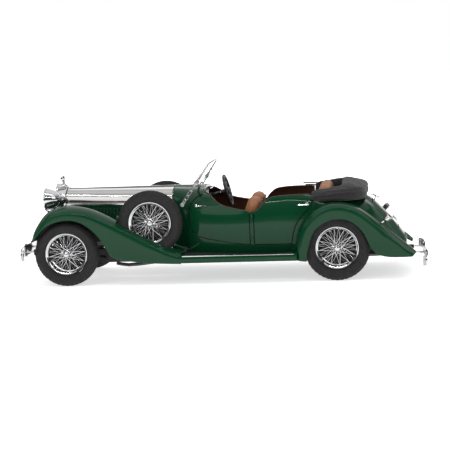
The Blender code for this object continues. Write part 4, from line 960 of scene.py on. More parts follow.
def wheel_shape():
    """A wire wheel about the Y axis, its outer face towards +Y: rim, 48 crossed spokes, hub, nut and drum."""
    rim = [(9.1, -1.9), (9.3, -2.2), (10.1, -2.25), (10.45, -2.1), (10.45, -1.85), (10.0, -1.7), (9.75, -1.2),
           (9.6, 0.2), (9.75, 1.6), (10.0, 2.0), (10.5, 2.2), (10.62, 2.45), (10.45, 2.62), (10.1, 2.55),
           (9.75, 2.2), (9.35, 1.9), (9.2, 1.5), (9.0, 0.6), (8.95, 0.1), (9.05, -0.8)]
    shape = Shape().lathe(rim, (0, 0, 0), (0, 1, 0), 128, 0, True)
    hub = [(0.95, -2.0), (1.9, -2.0), (2.25, -1.9), (2.25, -1.5), (1.45, -1.3), (1.35, 0.9), (1.9, 1.2),
           (2.0, 1.6), (1.75, 1.85), (1.4, 2.0)]
    shape.lathe(hub, (0, 0, 0), (0, 1, 0), 40, 0)
    nut = [(1.35, 1.95), (1.62, 2.05), (1.7, 2.3), (1.55, 2.9), (1.25, 3.25), (0.8, 3.5), (0.3, 3.62)]
    shape.lathe(nut, (0, 0, 0), (0, 1, 0), 40, 0)
    for k in range(2):
        a = pi * k + 0.5
        out = Vector((cos(a), 0, sin(a)))
        shape.bar([out * 1.2 + Vector((0, 2.45, 0)), out * 2.0 + Vector((0, 2.75, 0)),
                   out * 2.75 + Vector((0, 2.85, 0))],
                  0.42, 0.26, 0, (0, 1, 0))
    # Two layers of laced spokes: count, hub radius and level, rim radius and level, lean, thickness.
    layers = ((24, 2.0, 1.45, 9.2, 0.9, 0.66, 0.13), (24, 2.15, -1.6, 9.1, -0.6, 0.36, 0.10))
    for count, hub_r, hub_u, rim_r, rim_u, lean, thick in layers:
        for k in range(count):
            base = k * tau / count
            twist = lean if k % 2 else -lean
            start = Vector((hub_r * cos(base), hub_u, hub_r * sin(base)))
            end = Vector((rim_r * cos(base + twist), rim_u, rim_r * sin(base + twist)))
            shape.tube([start, end], thick, 6, 1)
            near = end + (start - end).normalized() * 0.55
            shape.tube([near, end], 0.17, 6, 0)
    # Two near-black discs behind the spokes: the brake drum and its backing plate. The wider one reaches almost
    # to the rim as painted shade that fills the wheel behind the spokes.
    shape.lathe([(0.95, -2.3), (8.5, -2.3), (8.7, -2.5), (8.5, -2.7), (0.95, -2.7)], (0, 0, 0), (0, 1, 0),
                72, 2)
    shape.lathe([(0.9, -2.1), (5.2, -2.1), (5.5, -2.35), (0.9, -2.35)], (0, 0, 0), (0, 1, 0), 56, 2)
    for k in range(5):
        a = k * tau / 5
        x, z = 3.6 * cos(a), 3.6 * sin(a)
        shape.tube([(x, -2.15, z), (x, -1.8, z)], 0.28, 6, 0)
    return shape


def make_wheels():
    tyre, wheel = tyre_shape(), wheel_shape()
    spots = [("spare", SPARE.x, SPARE.y, SPARE.z, "car"), ("front", FRONT_AXLE_X, WHEEL_Y, AXLE_Z, None),
             ("rear", REAR_AXLE_X, WHEEL_Y, AXLE_Z, "rear_wheels")]
    for side, name in SIDES:
        for where, x, y, z, body in spots:
            body = body or f"front_wheel_{name}"
            spot = Matrix.Translation((x, side * y, z)) @ Matrix.Rotation(0.0 if side > 0 else pi, 4, "Z")
            spare = where == "spare"
            tyre_node, wheel_node = (f"spare_{kind}_{name}" if spare else f"{kind}_{where}_{name}"
                                     for kind in ("tyre", "wheel"))
            place(tyre.moved(spot).make(f"rubber_tyre_{where}_{name}", RUBBER), body, "tyre_rubber",
                  tyre_node)
            place(wheel.moved(spot).make(f"wire_wheel_{where}_{name}", CHROME, SPOKE_METAL, NEAR_BLACK_AND_SHADE),
                  body, "chrome", wheel_node)
        carrier = Shape()
        y = SPARE.y - TYRE_HALF
        carrier.bar([(SPARE.x, 15.0, 19.4), (SPARE.x, 19.5, 20.6), (SPARE.x, y - 0.7, 25.2),
                     (SPARE.x, y - 0.7, 29.5)],
                    0.6, 0.9, 0, (1, 0, 0))
        carrier.lathe([(0.4, y - 1.2), (2.6, y - 1.2), (2.6, y - 0.5), (0.4, y - 0.5)],
                      (SPARE.x, 0, SPARE.z), sides=32)
        place(carrier.on(side).make(f"spare_carrier_{name}", CHASSIS_BLACK), "car", "black_metal")


# ---------------------------------------------------------------- lamps, bumpers and small fittings

def make_lamps():
    for side, name in SIDES:
        centre = Vector((-76.5, 14.4, 42.0))
        axis = (-1, 0, 0)
        bowl = [(0.25, -4.75), (0.9, -4.6), (1.9, -4.1), (3.0, -3.2), (4.1, -1.9), (4.95, -0.3), (5.5, 1.4),
                (5.8, 2.7), (5.85, 3.0), (6.0, 3.05), (6.05, 3.35), (6.0, 3.75), (5.8, 3.95), (5.5, 3.95),
                (5.3, 3.75), (5.25, 3.3), (4.6, 2.3), (3.4, 1.2), (2.0, 0.5), (0.9, 0.3)]
        lamp = Shape().lathe(bowl, centre, axis, 72)
        lamp.lathe([(0.25, -0.2), (0.55, 0.4), (0.6, 1.6), (0.3, 2.2)], centre, axis, 20)
        lamp.tube([(-75.2, 14.6, 33.0), (-75.4, 14.5, 35.0), (-75.9, 14.4, 37.2)], [1.0, 0.65, 0.95], 16)
        lamp.lathe([(1.5, -0.4), (1.6, 0), (1.1, 0.5)], (-75.2, 14.6, 32.9), (0, 0, 1), 24)
        lamp.tube([(-72.0, 14.4, 42.0), (-71.2, 14.4, 42.0)], 0.35, 10)
        lens = [(5.2, 3.4), (5.2, 3.9), (4.4, 4.3), (3.3, 4.6), (2.0, 4.78), (0.4, 4.85), (0.4, 4.6),
                (2.0, 4.5), (3.3, 4.3), (4.4, 3.95), (4.95, 3.5)]
        glass = Shape().lathe(lens, centre, axis, 72, 0, True)
        glass.lathe([(0.4, 4.6), (0.4, 4.85)], centre, axis, 72)
        for k in range(-6, 7):
            y = k * 0.68
            reach = sqrt(max(0.1, 4.7 ** 2 - y * y))
            glass.tube([(centre.x - 4.45 + 0.030 * (y * y + z * z), centre.y + y, centre.z + z)
                        for z in np.linspace(-reach, reach, 9)], 0.16, 6)
        place(lamp.on(side).make(f"headlamp_bowl_{name}", CHROME), "car", "chrome", f"headlamp_{name}")
        place(glass.on(side).make(f"headlamp_glass_{name}", LENS_GLASS), "car", "lamp_glass",
              f"headlamp_lens_{name}")
        seat = Vector((90.4, 27.6, 28.3))
        axis = (0.75, 0, 0.66)
        tail = Shape().lathe([(0.6, -0.1), (1.1, 0.1), (1.35, 0.6), (1.5, 1.4), (1.55, 3.2), (1.4, 3.45),
                              (1.25, 3.4)],
                             seat, axis, 40, 0)
        tail.lathe([(1.2, 3.2), (1.2, 3.6), (0.9, 3.9), (0.4, 4.05)], seat, axis, 40, 1)
        tail.bar([(88.6, 27.6, 27.2), (89.9, 27.6, 28.0), (91.2, 27.6, 29.2)], 0.55, 0.3)
        place(tail.on(side).make(f"tail_lamp_case_{name}", CHROME, RED_LENS), "car", "tail_lamp_red",
              f"tail_lamp_{name}")
        bell = [(1.35, -3.2), (1.42, -3.3), (1.5, -3.1), (0.85, -2.0), (0.5, -0.6), (0.42, 1.0), (0.95, 1.3),
                (1.05, 2.2), (0.8, 2.6)]
        horn = Shape().lathe(bell, (-74.8, 21.0, 36.9), (1, 0, 0), 32)
        horn.tube([(-74.4, 21.0, 35.9), (-74.2, 21.0, 34.4)], 0.3, 8)
        place(horn.on(side).make(f"horn_{name}", CHROME), "car", "chrome")


def bumper_shape(centre_x, end_x, z, tall, back):
    """A bowed blade with a raised rib, rolled edges and two overriders; make_bumpers adds the irons."""
    half = tall / 2
    pts = [(end_x + back * 2.0, -34.5), (end_x, -32.5), ((centre_x * 3 + end_x) / 4, -16),
           (centre_x + back * 0.9, 0),
           ((centre_x * 3 + end_x) / 4, 16), (end_x, 32.5), (end_x + back * 2.0, 34.5)]
    path = [Vector((x, y, z)) for x, y in catmull(pts, 73)]
    outward = -back
    section = [(-0.35, -half), (0.2, -half + 0.05), (0.5, -half * 0.62), (0.42, -half * 0.5),
               (0.75, -half * 0.2),
               (0.85, 0), (0.75, half * 0.2), (0.42, half * 0.5), (0.5, half * 0.62), (0.2, half - 0.05),
               (-0.35, half)]
    rows = []
    for i, p in enumerate(path):
        along = (path[min(i + 1, 72)] - path[max(i - 1, 0)]).normalized()
        out = Vector((along.y, -along.x, 0)) * outward
        if out.x * outward < 0:
            out = -out
        rows.append([p + out * a * 0.6 + Vector((0, 0, b)) for a, b in section])
    shape = Shape().solid(rows)
    for side in (-1, 1):
        y = side * 13.6
        guard = []
        for t in np.linspace(-1, 1, 15):
            swell = sqrt(max(0.0, 1 - 0.9 * t ** 4))
            base = centre_x + back * 1.35
            guard.append([(base + outward * (0.15 + 1.2 * swell) * cos(a),
                           y + 1.1 * sin(a) * (0.4 + 0.6 * swell), z + t * (half + 0.9))
                          for a in np.linspace(-pi / 2, pi / 2, 9)])
        shape.solid(guard)
    return shape


def make_bumpers():
    front_x = to_design(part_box("front_bumper")[0])[0] + 0.3
    rear_x = to_design(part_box("rear_bumper")[1])[0] - 0.35
    front = bumper_shape(front_x, -90.2, box_centre("front_bumper").z / MM, 5.5, 1)
    rear = bumper_shape(rear_x, 110.7, box_centre("rear_bumper").z / MM, 4.9, -1)
    for side in (-1, 1):
        y = side * 10.9
        iron = catmull([(-92.6, y, 15.2), (-91.0, y, 15.1), (-89.0, y, 15.3), (-86.0, y, 17.2),
                        (-83.5, y, 16.4)], 17)
        front.bar(iron, 0.95, 0.45)
        front.bar([(-92.4, side * 10.6, 16.0), (-92.3, side * 13.6, 16.0)], 0.5, 1.0)
        front.tube([(-93.4, y, 15.2), (-92.3, y, 15.2)], 0.6, 6)
        rear.bar([(104.6, y, 10.4), (107.0, y, 10.4), (111.0, y, 10.2)], 0.95, 0.45)
        rear.bar([(110.2, side * 10.6, 9.6), (110.3, side * 13.6, 9.6)], 0.5, 1.0)
    place(front.make("front_bumper_blade", CHROME), "car", "chrome", "front_bumper")
    place(rear.make("rear_bumper_blade", CHROME), "car", "chrome", "rear_bumper")


def surface_point(x, z, side=1, out=0.0):
    """The point on the body's skin at x and a height z, moved outwards."""
    half = half_section(x)
    zs = [q[1] for q in half][::-1]
    ys = [q[0] for q in half][::-1]
    return (x, side * (float(np.interp(z, zs, ys)) + out), z)


def handle(x_plate, x_tip, z, side):
    """A lever handle on a round plate."""
    base = surface_point(x_plate, z, 1, 0.05)
    shape = Shape().lathe([(0.95, 0), (0.95, 0.18), (0.7, 0.3), (0.32, 0.35), (0.3, 0.95), (0.42, 1.05),
                           (0.4, 1.35), (0.2, 1.45)],
                          base, (0, 1, 0), 28)
    tip = surface_point(x_tip, z, 1, 1.15)
    path = catmull([(base[0], base[1] + 1.15, z), ((x_plate + x_tip) / 2, base[1] + 1.35, z + 0.12), tip], 13)
    shape.tube(path, [0.42, 0.42, 0.4, 0.38, 0.38, 0.38, 0.38, 0.38, 0.38, 0.36, 0.34, 0.3, 0.2], 12,
               flat=0.75)
    return shape.on(side)


def make_door_seals(side, name):
    """Rubber strips on the body, just behind the gaps round the doors, near-black so that the gaps show painted
    shade instead of the cabin behind them.
    """
    seals = Shape()
    for outline in (FRONT_DOOR, REAR_DOOR):
        path = []
        corners = widened(outline, GAP / 2)
        for (x0, z0), (x1, z1) in zip(corners, corners[1:]):
            for share in np.linspace(0, 1, max(2, round(dist((x0, z0), (x1, z1)))))[:-1]:
                x, z = x0 + (x1 - x0) * share, z0 + (z1 - z0) * share
                if z < np.interp(x, *zip(*DOOR_LINE)) - 1.0:
                    path.append((x, surface_point(x, z, side)[1] - side * (WALL + 0.35), z))
        seals.tube(path, 0.5, 8, 0)
    place(seals.make(f"door_seals_gap_shade_{name}", NEAR_BLACK_AND_SHADE), "car", "tyre_rubber")


def make_door_fittings():
    """Handles, pillar hinges, near-black gap rubbers that also paint shade into the door gaps, the rolls along
    the door tops, and the boot lid's fittings.
    """
    for side, name in SIDES:
        for which, x_plate, x_tip, z in (("front", -2.2, 3.0, 37.6), ("rear", 53.0, 48.4, 37.4)):
            lever = handle(x_plate, x_tip, z, side).make(f"door_handle_{which}_{name}", CHROME)
            place(lever, f"door_{which}_{name}", "chrome")
        hinges = Shape()
        for z in (21.6, 32.6):
            y = surface_point(25.6, z)[1]
            hinges.lathe([(0.42, -1.0), (0.5, -0.9), (0.5, 0.9), (0.42, 1.0)], (25.65, y + 0.2, z),
                         (0, 0, 1), 16)
            hinges.lathe([(0.3, 1.0), (0.34, 1.15), (0.15, 1.3)], (25.65, y + 0.2, z), (0, 0, 1), 12)
        place(hinges.on(side).make(f"pillar_hinges_{name}", PAINT), "car", "green_paint")
        make_door_seals(side, name)
        for which, outline, start, end in (("front", DOOR_LINE[:8], 2.3, 24.2),
                                           ("rear", DOOR_LINE[8:] + ((54.7, 42.1),), 27.1, 54.4)):
            path = [(x, surface_point(x, z)[1] - 1.05, z - 0.05)
                    for x, z in curve_2d(outline, 50) if start <= x <= end]
            roll = Shape().tube(path, 0.42, 12, flat=0.8).on(side)
            roll = roll.make(f"door_top_roll_{which}_{name}", BROWN_TRIM)
            place(roll, f"door_{which}_{name}", "tan_leather")
    lid = Shape().lathe([(0.75, 0), (0.75, 0.2), (0.4, 0.35), (0.35, 2.2), (0.5, 2.4), (0.3, 2.6)],
                        (85.9, 0, 35.8), (0.3, 0, 0.95), 24)
    lid.tube([(84.2, 0, 39.0), (86.6, 0, 38.4), (88.4, 0, 37.4)], [0.22, 0.42, 0.25], 12)
    for y in (-6.2, 6.2):
        lid.bar([(95.0, y, 27.2), (97.2, y, 24.7)], 0.5, 0.22, 0, (0, 1, 0))
    place(lid.make("boot_handle", CHROME), "boot_lid", "chrome")


# ---------------------------------------------------------------- windscreen, steering wheel and dashboard

SCREEN_PIVOT = Vector((-2.0, 0.0, 49.0))
SCREEN_UP = Vector((sin(radians(34)), 0, cos(radians(34))))
SCREEN_DEPTH = SCREEN_UP.cross(Vector((0, 1, 0)))
SCREEN_HALF_WIDTH = 20.6
COLUMN_SLOPE = radians(14)
COLUMN_AXIS = Vector((cos(COLUMN_SLOPE), 0, sin(COLUMN_SLOPE)))
WHEEL_CENTRE = Vector((11.4, 11.5, 42.2)) - COLUMN_AXIS * 1.2
STEERING_RADIUS = 8.7


def screen_loop(inset, corner, steps=9):
    """A rounded rectangle in the windscreen's plane."""
    w, low, high = SCREEN_HALF_WIDTH - inset, -1.5 + inset, 10.9 - inset
    corners = ((w - corner, high - corner, 0), (-w + corner, high - corner, 90),
               (-w + corner, low + corner, 180),
               (w - corner, low + corner, 270))
    loop = []
    for y, rise, start in corners:
        for k in range(steps):
            a = radians(start + 90 * k / (steps - 1))
            loop.append(SCREEN_PIVOT + Vector((0, y + corner * cos(a),
                                               0)) + SCREEN_UP * (rise + corner * sin(a)))
    return loop


def make_screen():
    """A plated frame with a rubber seal round the glass, on two slotted stanchions."""
    frame_shape = Shape().tube(screen_loop(0, 1.6), 0.5, 14, 0, True, 1.0, SCREEN_DEPTH)
    frame_shape.tube(screen_loop(0.52, 1.2), 0.24, 8, 1, True, 1.0, SCREEN_DEPTH)
    for side in (-1, 1):
        end = SCREEN_PIVOT + Vector((0, side * (SCREEN_HALF_WIDTH + 0.3), 0))
        frame_shape.bar([end - SCREEN_UP * 1.4, end + SCREEN_UP * 2.6], 0.3, 0.62, 0, (0, 1, 0))
        frame_shape.tube([end, end + Vector((0, side * 0.85, 0))], 0.42, 12)
    place(frame_shape.make("screen_frame", CHROME, BLACK), "windscreen", "chrome", "windscreen_frame")
    edge = screen_loop(0.62, 1.1)
    slab = [[p + SCREEN_DEPTH * level for p in edge] for level in (-0.16, 0.16)]
    place(Shape().solid(slab).make("screen_glass", GLASS), "windscreen", "screen_glass",
          "windscreen_glass")
    for side, name in SIDES:
        foot = SCREEN_PIVOT - SCREEN_UP * 12.6
        top = SCREEN_PIVOT + SCREEN_UP * 4.5
        path = [Vector(p) for p in catmull([(foot.x, 25.0, foot.z), (foot.x + 1.6, 24.4, foot.z + 2.4),
                                            (-3.6, 23.2, 46.7),
                                            (top.x, 22.35, top.z)], 33)]
        post = Shape()
        for edge_side in (-1, 1):
            rail = []
            for i, p in enumerate(path):
                along = (path[min(i + 1, 32)] - path[max(i - 1, 0)]).normalized()
                across = along.cross(Vector((0, 1, 0))).normalized()
                open_by = min(1.0, 7 * min(i, 32 - i) / 32)
                rail.append(p + across * edge_side * 0.6 * open_by)
            post.bar(rail, 0.42, 0.25, 0, (1, 0, -0.6))
        for k in range(3, 30, 4):
            post.tube([path[k] - Vector((0, 0.18, 0)), path[k] + Vector((0, 0.18, 0))], 0.42, 10)
        post.lathe([(0.9, -0.45), (1.05, -0.3), (1.05, 0.3), (0.9, 0.45)], path[0], (0, 1, 0), 24)
        post.lathe([(0.6, -0.5), (0.75, -0.35), (0.75, 0.35), (0.6, 0.5)], path[-1], (0, 1, 0), 20)
        knob = [(0.55, 22.0), (0.6, 22.7), (1.05, 22.75), (1.12, 22.9), (1.12, 23.35), (1.0, 23.55),
                (0.45, 23.65)]
        post.lathe(knob, (SCREEN_PIVOT.x, 0, SCREEN_PIVOT.z), (0, 1, 0), 28)
        for k in range(10):
            a = k * tau / 10
            x, z = SCREEN_PIVOT.x + 1.1 * cos(a), SCREEN_PIVOT.z + 1.1 * sin(a)
            post.tube([(x, 22.85, z), (x, 23.4, z)], 0.13, 6)
        place(post.on(side).make(f"slotted_stanchion_{name}", STEEL), "car", "chrome",
              f"screen_stanchion_{name}")


def make_steering_wheel():
    up = COLUMN_AXIS.cross(Vector((0, 1, 0)))

    def at(radius, angle, along=0.0):
        return WHEEL_CENTRE + Vector((0, radius * cos(angle),
                                      0)) + up * radius * sin(angle) + COLUMN_AXIS * along

    count = 120
    rim = [at(STEERING_RADIUS - 0.8, k * tau / count) for k in range(count)]
    grips = [0.75 + 0.05 * cos(k * tau / 5) for k in range(count)]
    wheel = Shape().tube(rim, grips, 14, 0, True, 1.0, COLUMN_AXIS)
    for k in range(4):
        a = pi / 4 + k * pi / 2
        for lean in (-0.09, 0.09):
            wheel.bar([at(1.1, a + lean * 3, -0.45), at(4.5, a + lean, -0.25),
                       at(STEERING_RADIUS - 0.8, a + lean * 0.6)],
                      0.34, 0.24, 0, COLUMN_AXIS)
    wheel.lathe([(0.9, -1.1), (1.7, -0.9), (1.85, -0.3), (1.75, 0.3), (1.5, 0.8), (1.3, 1.1), (0.9, 1.4),
                 (0.3, 1.5)],
                WHEEL_CENTRE, COLUMN_AXIS, 40, 0)
    wheel.lathe([(1.4, 0.7), (1.66, 0.8), (1.4, 0.98)], WHEEL_CENTRE, COLUMN_AXIS, 40, 1)
    wheel.tube([at(0.5, 0.4, 1.35), at(2.3, 0.5, 1.42)], 0.14, 8, 1)
    place(wheel.make("steering_wheel_rim", BLACK, STEEL), "steering_wheel", "black_plastic", "steering_wheel")
    profile = [(0.6, -22.8), (0.88, -22.6), (0.88, -13.4), (1.15, -13.2), (1.15, -12.4), (1.0, -12.2),
               (1.0, -3.4), (1.35, -3.2), (1.4, -2.2), (1.1, -1.6), (0.7, -1.3)]
    column = Shape().lathe(profile, WHEEL_CENTRE, COLUMN_AXIS, 32)
    lever = [at(0.8, pi * 0.9, -2.7), at(3.4, pi * 0.92, -2.3), at(4.4, pi * 0.93, -2.1)]
    column.tube(lever, [0.2, 0.17, 0.3], 10, 1)
    place(column.make("steering_column_tube", BLACK, STEEL), "car", "black_plastic", "steering_column")


def gauge(shape, y, z, radius, turn):
    """A round instrument: plated bezel, pale face, tick marks and a pointer."""
    x = 0.42
    shape.lathe([(radius + 0.12, x - 0.1), (radius + 0.3, x + 0.15), (radius + 0.22, x + 0.4),
                 (radius, x + 0.42),
                 (radius - 0.08, x + 0.2), (radius - 0.08, x - 0.1)], (0, y, z), (1, 0, 0), 40, 1, True)
    shape.lathe([(radius, x - 0.05), (radius, x + 0.12)], (0, y, z), (1, 0, 0), 40, 2)
    for k in range(11):
        a = radians(-45 + 27 * k)
        inner, outer = radius * 0.74, radius * 0.9
        shape.bar([(x + 0.15, y + inner * cos(a), z + inner * sin(a)),
                   (x + 0.15, y + outer * cos(a), z + outer * sin(a))], 0.05, 0.05, 3, (1, 0, 0))
    tip = Vector((x + 0.2, y + radius * 0.7 * cos(turn), z + radius * 0.7 * sin(turn)))
    tail = Vector((x + 0.2, y - radius * 0.2 * cos(turn), z - radius * 0.2 * sin(turn)))
    shape.tube([tail, tip], [0.09, 0.04], 6, 3)
    shape.lathe([(0.2, x + 0.12), (0.2, x + 0.28)], (0, y, z), (1, 0, 0), 12, 3)


def make_dashboard():
    """A moulded panel with a rounded edge, seven instruments, switches and a glove box lid."""
    def outline(inset):
        half = inside(half_section(-1.6), WALL + 0.5 + inset)
        found = [(y, z) for y, z in half if z > 33.0 + inset]
        found += [(found[-1][0], 33.4 + inset), (6.0, 32.6 + inset)]
        return found + [(-y, z) for y, z in found[:0:-1]]

    rows = [[(x, y, z) for y, z in outline(inset)] for x,
            inset in ((-1.6, 0.3), (-1.35, 0.05), (0.1, 0.05), (0.4, 0.35))]
    board = Shape().solid(rows)
    dials = ((6.2, 40.6, 2.2, 2.5), (16.4, 38.9, 1.7, 1.1), (1.2, 42.0, 1.2, 2.0), (-2.4, 42.0, 1.2, 0.9),
             (1.2, 38.6, 1.2, 1.5), (-2.4, 38.6, 1.2, 2.8), (-7.4, 40.6, 1.7, 0.6))
    for y, z, radius, turn in dials:
        gauge(board, y, z, radius, turn)
    board.box((0.35, -19.0, 35.0), (0.75, -11.0, 39.6), 0, 0.12)
    board.lathe([(0.35, 0.7), (0.35, 1.0), (0.2, 1.1)], (0, -11.8, 37.4), (1, 0, 0), 16, 1)
    for y in (-6.4, -4.2, -0.6, 3.0, 5.2):
        board.lathe([(0.3, 0.38), (0.3, 0.6), (0.14, 0.66), (0.14, 1.1), (0.22, 1.2)], (0, y, 35.8),
                    (1, 0, 0), 14, 1)
    ring_centre = WHEEL_CENTRE - COLUMN_AXIS * 10.0
    board.lathe([(1.3, -0.1), (1.75, 0.05), (1.75, 0.3), (1.3, 0.4)], ring_centre, COLUMN_AXIS, 32, 1, True)
    place(board.make("dashboard_panel", BLACK, CHROME, GAUGE_FACE, NEAR_BLACK_AND_SHADE), "car", "black_plastic",
          "dashboard")
    path = catmull([(9.0, 0.6, 15.6), (8.4, 0.6, 20.0), (9.6, 0.4, 27.0), (10.2, 0.2, 30.6)], 15)
    lever = Shape().tube(path, 0.34, 10)
    lever.lathe([(0.3, 0), (0.85, 0.3), (1.05, 1.0), (0.85, 1.7), (0.3, 2.0)], path[-1], (0.1, 0, 1), 20, 1)
    lever.lathe([(1.9, 0), (1.8, 0.5), (1.2, 1.2), (0.7, 2.6), (0.35, 3.6)], (8.9, 0.6, 15.3), (0, 0, 1), 24,
                2)
    brake = catmull([(12.6, -0.9, 15.8), (11.4, -0.9, 20.0), (7.6, -0.9, 28.4)], 13)
    lever.tube(brake, 0.3, 8)
    lever.tube([brake[-1], brake[-1] + (brake[-1] - brake[-2]) * 2.4], 0.52, 10, 1)
    place(lever.make("gear_and_brake_levers", STEEL, BLACK, RUBBER), "car", "chrome")


# ---------------------------------------------------------------- seats and folded hood

SIM_SCALE = 24.0  # soft pieces swell at full-car size, because Cloth is tuned for that
SIM_FRAMES = 20


def swollen(shape, name, voxel_mm, cap_mm, pressure=4.0, smoothing=4):
    """The closed shape, given in millimetres about the origin, filled out by a cloth simulation."""
    mesh = bpy.data.meshes.new(name)
    mesh.from_pydata([p * SIM_SCALE * MM for p in shape.points], [], shape.faces)
    obj = new_object(name, mesh)
    remesh = obj.modifiers.new("remesh", "REMESH")
    remesh.mode = "VOXEL"
    remesh.voxel_size = voxel_mm * SIM_SCALE * MM
    apply_modifiers(obj)
    start = np.array([v.co[:] for v in obj.data.vertices])
    cloth = obj.modifiers.new("cloth", "CLOTH")
    settings = cloth.settings
    settings.use_pressure = True
    settings.uniform_pressure_force = pressure
    settings.quality = 5
    settings.mass = 0.3
    settings.tension_stiffness = settings.compression_stiffness = 12
    settings.bending_stiffness = 2
    settings.effector_weights.gravity = 0
    cloth.point_cache.frame_start = 1
    cloth.point_cache.frame_end = SIM_FRAMES
    for number in range(1, SIM_FRAMES + 1):
        bpy.context.scene.frame_set(number)
    apply_modifiers(obj)
    bpy.context.scene.frame_set(1)
    travel = np.array([v.co[:] for v in obj.data.vertices]) - start
    length = np.linalg.norm(travel, axis=1, keepdims=True)
    most = cap_mm * SIM_SCALE * MM
    end = start + travel * np.minimum(1, most / np.maximum(length, 1e-9))
    obj.data.vertices.foreach_set("co", end.ravel())
    smooth = obj.modifiers.new("smooth", "SMOOTH")
    smooth.factor = 0.5
    smooth.iterations = smoothing
    finer = obj.modifiers.new("finer", "SUBSURF")
    finer.levels = finer.render_levels = 1
    apply_modifiers(obj)
    return obj


def reshape(obj, change):
    """Moves every point by a rule given in millimetres, and leaves the object in the row frame."""
    for v in obj.data.vertices:
        v.co = to_world(change(v.co / (SIM_SCALE * MM)))
    face_outwards(obj.data)
    obj.data.shade_smooth()


def pillow(outline, half_thickness, round_by, steps=5):
    """A closed pad: an outline in the plane, drawn in towards both faces by a quarter circle."""
    rings = []
    for k in range(-steps, steps + 1):
        t = k / steps
        draw_in = round_by * (1 - sqrt(max(0.0, 1 - abs(t) ** 2.4)))
        rings.append([(a, b, t * half_thickness) for a, b in widened(outline, -draw_in)])
    return Shape().solid(rings)


def rounded_outline(width, low, high, low_corner, high_corner, steps=9):
    """A rectangle about a = 0 with different corner radii below and above, counter-clockwise."""
    points = []
    w = width / 2
    corners = ((w - high_corner, high - high_corner, high_corner, 0),
               (-w + high_corner, high - high_corner, high_corner, 90),
               (-w + low_corner, low + low_corner, low_corner, 180),
               (w - low_corner, low + low_corner, low_corner, 270))
    for a, b, radius, start in corners:
        for k in range(steps):
            angle = radians(start + 90 * k / (steps - 1))
            points.append((a + radius * cos(angle), b + radius * sin(angle)))
    even = []
    for i, p in enumerate(points):
        q = points[(i + 1) % len(points)]
        length = dist(p, q)
        parts = max(1, round(length / 1.2))
        even += [(p[0] + (q[0] - p[0]) * j / parts, p[1] + (q[1] - p[1]) * j / parts) for j in range(parts)]
    return even


def bent(spine, centre_y, p):
    """Bends a flat pad: its x runs across the car, its y along the spine (x, z pairs) and its z out of it."""
    reach = 0.0
    for start, end in zip(spine, spine[1:]):
        length = dist(start, end)
        direction = Vector((end[0] - start[0], end[1] - start[1])) / length
        spot = Vector(start) + direction * (p.y - reach)
        if p.y <= reach + length:
            break
        reach += length
    spot = spot + Vector((-direction.y, direction.x)) * p.z
    return (spot.x, centre_y + p.x, spot.y)


def channels(p, pitch, depth, half_width, low, high):
    """How far a sewn channel draws the face in at a point: grooves along b, between low and high."""
    if p.z <= 0:
        return 0.0
    edge = min(1.0, max(0.0, min(half_width - abs(p.x), p.y - low, high - p.y)))
    phase = (p.x / pitch + 0.5) % 1.0
    groove = exp(-((min(phase, 1 - phase) * pitch) / 0.32) ** 2)
    crown = 0.18 * sin(pi * phase)
    return edge * (depth * groove - crown)


def border_seam(p, half_width, low, high, inset=1.35, depth=0.22):
    if p.z <= 0:
        return 0.0
    near = min(half_width - abs(p.x), p.y - low, high - p.y) - inset
    return depth * exp(-(near / 0.26) ** 2)


def piping(pad, outline, level, mapping, name, finish):
    """A sewn cord that lies on the pad along its outline."""
    work = bmesh.new()
    work.from_mesh(pad.data)
    tree = BVHTree.FromBMesh(work)
    work.free()
    path = []
    for a, b in outline[::2]:
        wanted = to_world(mapping(Vector((a, b, level))))
        spot, normal, *_ = tree.find_nearest(wanted)
        spot = spot + normal * 0.06 * MM
        path.append(to_design(spot))
    path = np.array(path)
    for _ in range(3):
        path = (np.roll(path, 1, axis=0) + 2 * path + np.roll(path, -1, axis=0)) / 4
    fine = catmull(np.concatenate([path[-2:], path, path[:3]]), (len(path) + 4) * 2 + 1)[4:-5]
    return Shape().tube(fine, 0.2, 8, 0, True).make(name, finish)


def crease(p, size, height, seed):
    """Soft wrinkles as a height in millimetres."""
    return height * noise.fractal(p / size + Vector((seed, seed, seed)), 0.8, 2.1, 3)


def make_pad(name, size, half_thickness, round_by, spine, centre_y, pitch, depth, seed, *replaced):
    """One sewn pad: simulated flat, bent along its spine, then given channels, a seam, piping and creases.

    size is the flat pad's width, its low and high ends along the spine, and its corner radii there.
    """
    half_width, low, high = size[0] / 2, size[1], size[2]
    outline = rounded_outline(*size)
    flat = swollen(pillow(outline, half_thickness, round_by), name, 0.42, 0.55)

    def mapping(p):
        return bent(spine, centre_y, p)

    def change(p):
        drawn = channels(p, pitch, depth, half_width - 1.6, low + 1.6, high - 1.6)
        drawn += border_seam(p, half_width, low, high)
        drawn += crease(p, 5.0, 0.10, seed)
        return mapping(Vector((p.x, p.y, p.z - drawn * min(1.0, abs(p.z) / half_thickness))))

    reshape(flat, change)
    set_materials(flat.data, TAN_LEATHER)
    place(flat, "car", "tan_leather", *replaced)
    trim = piping(flat, outline, half_thickness * 0.55, mapping, f"{name}_piping", TAN_LEATHER)
    place(trim, "car", "tan_leather")


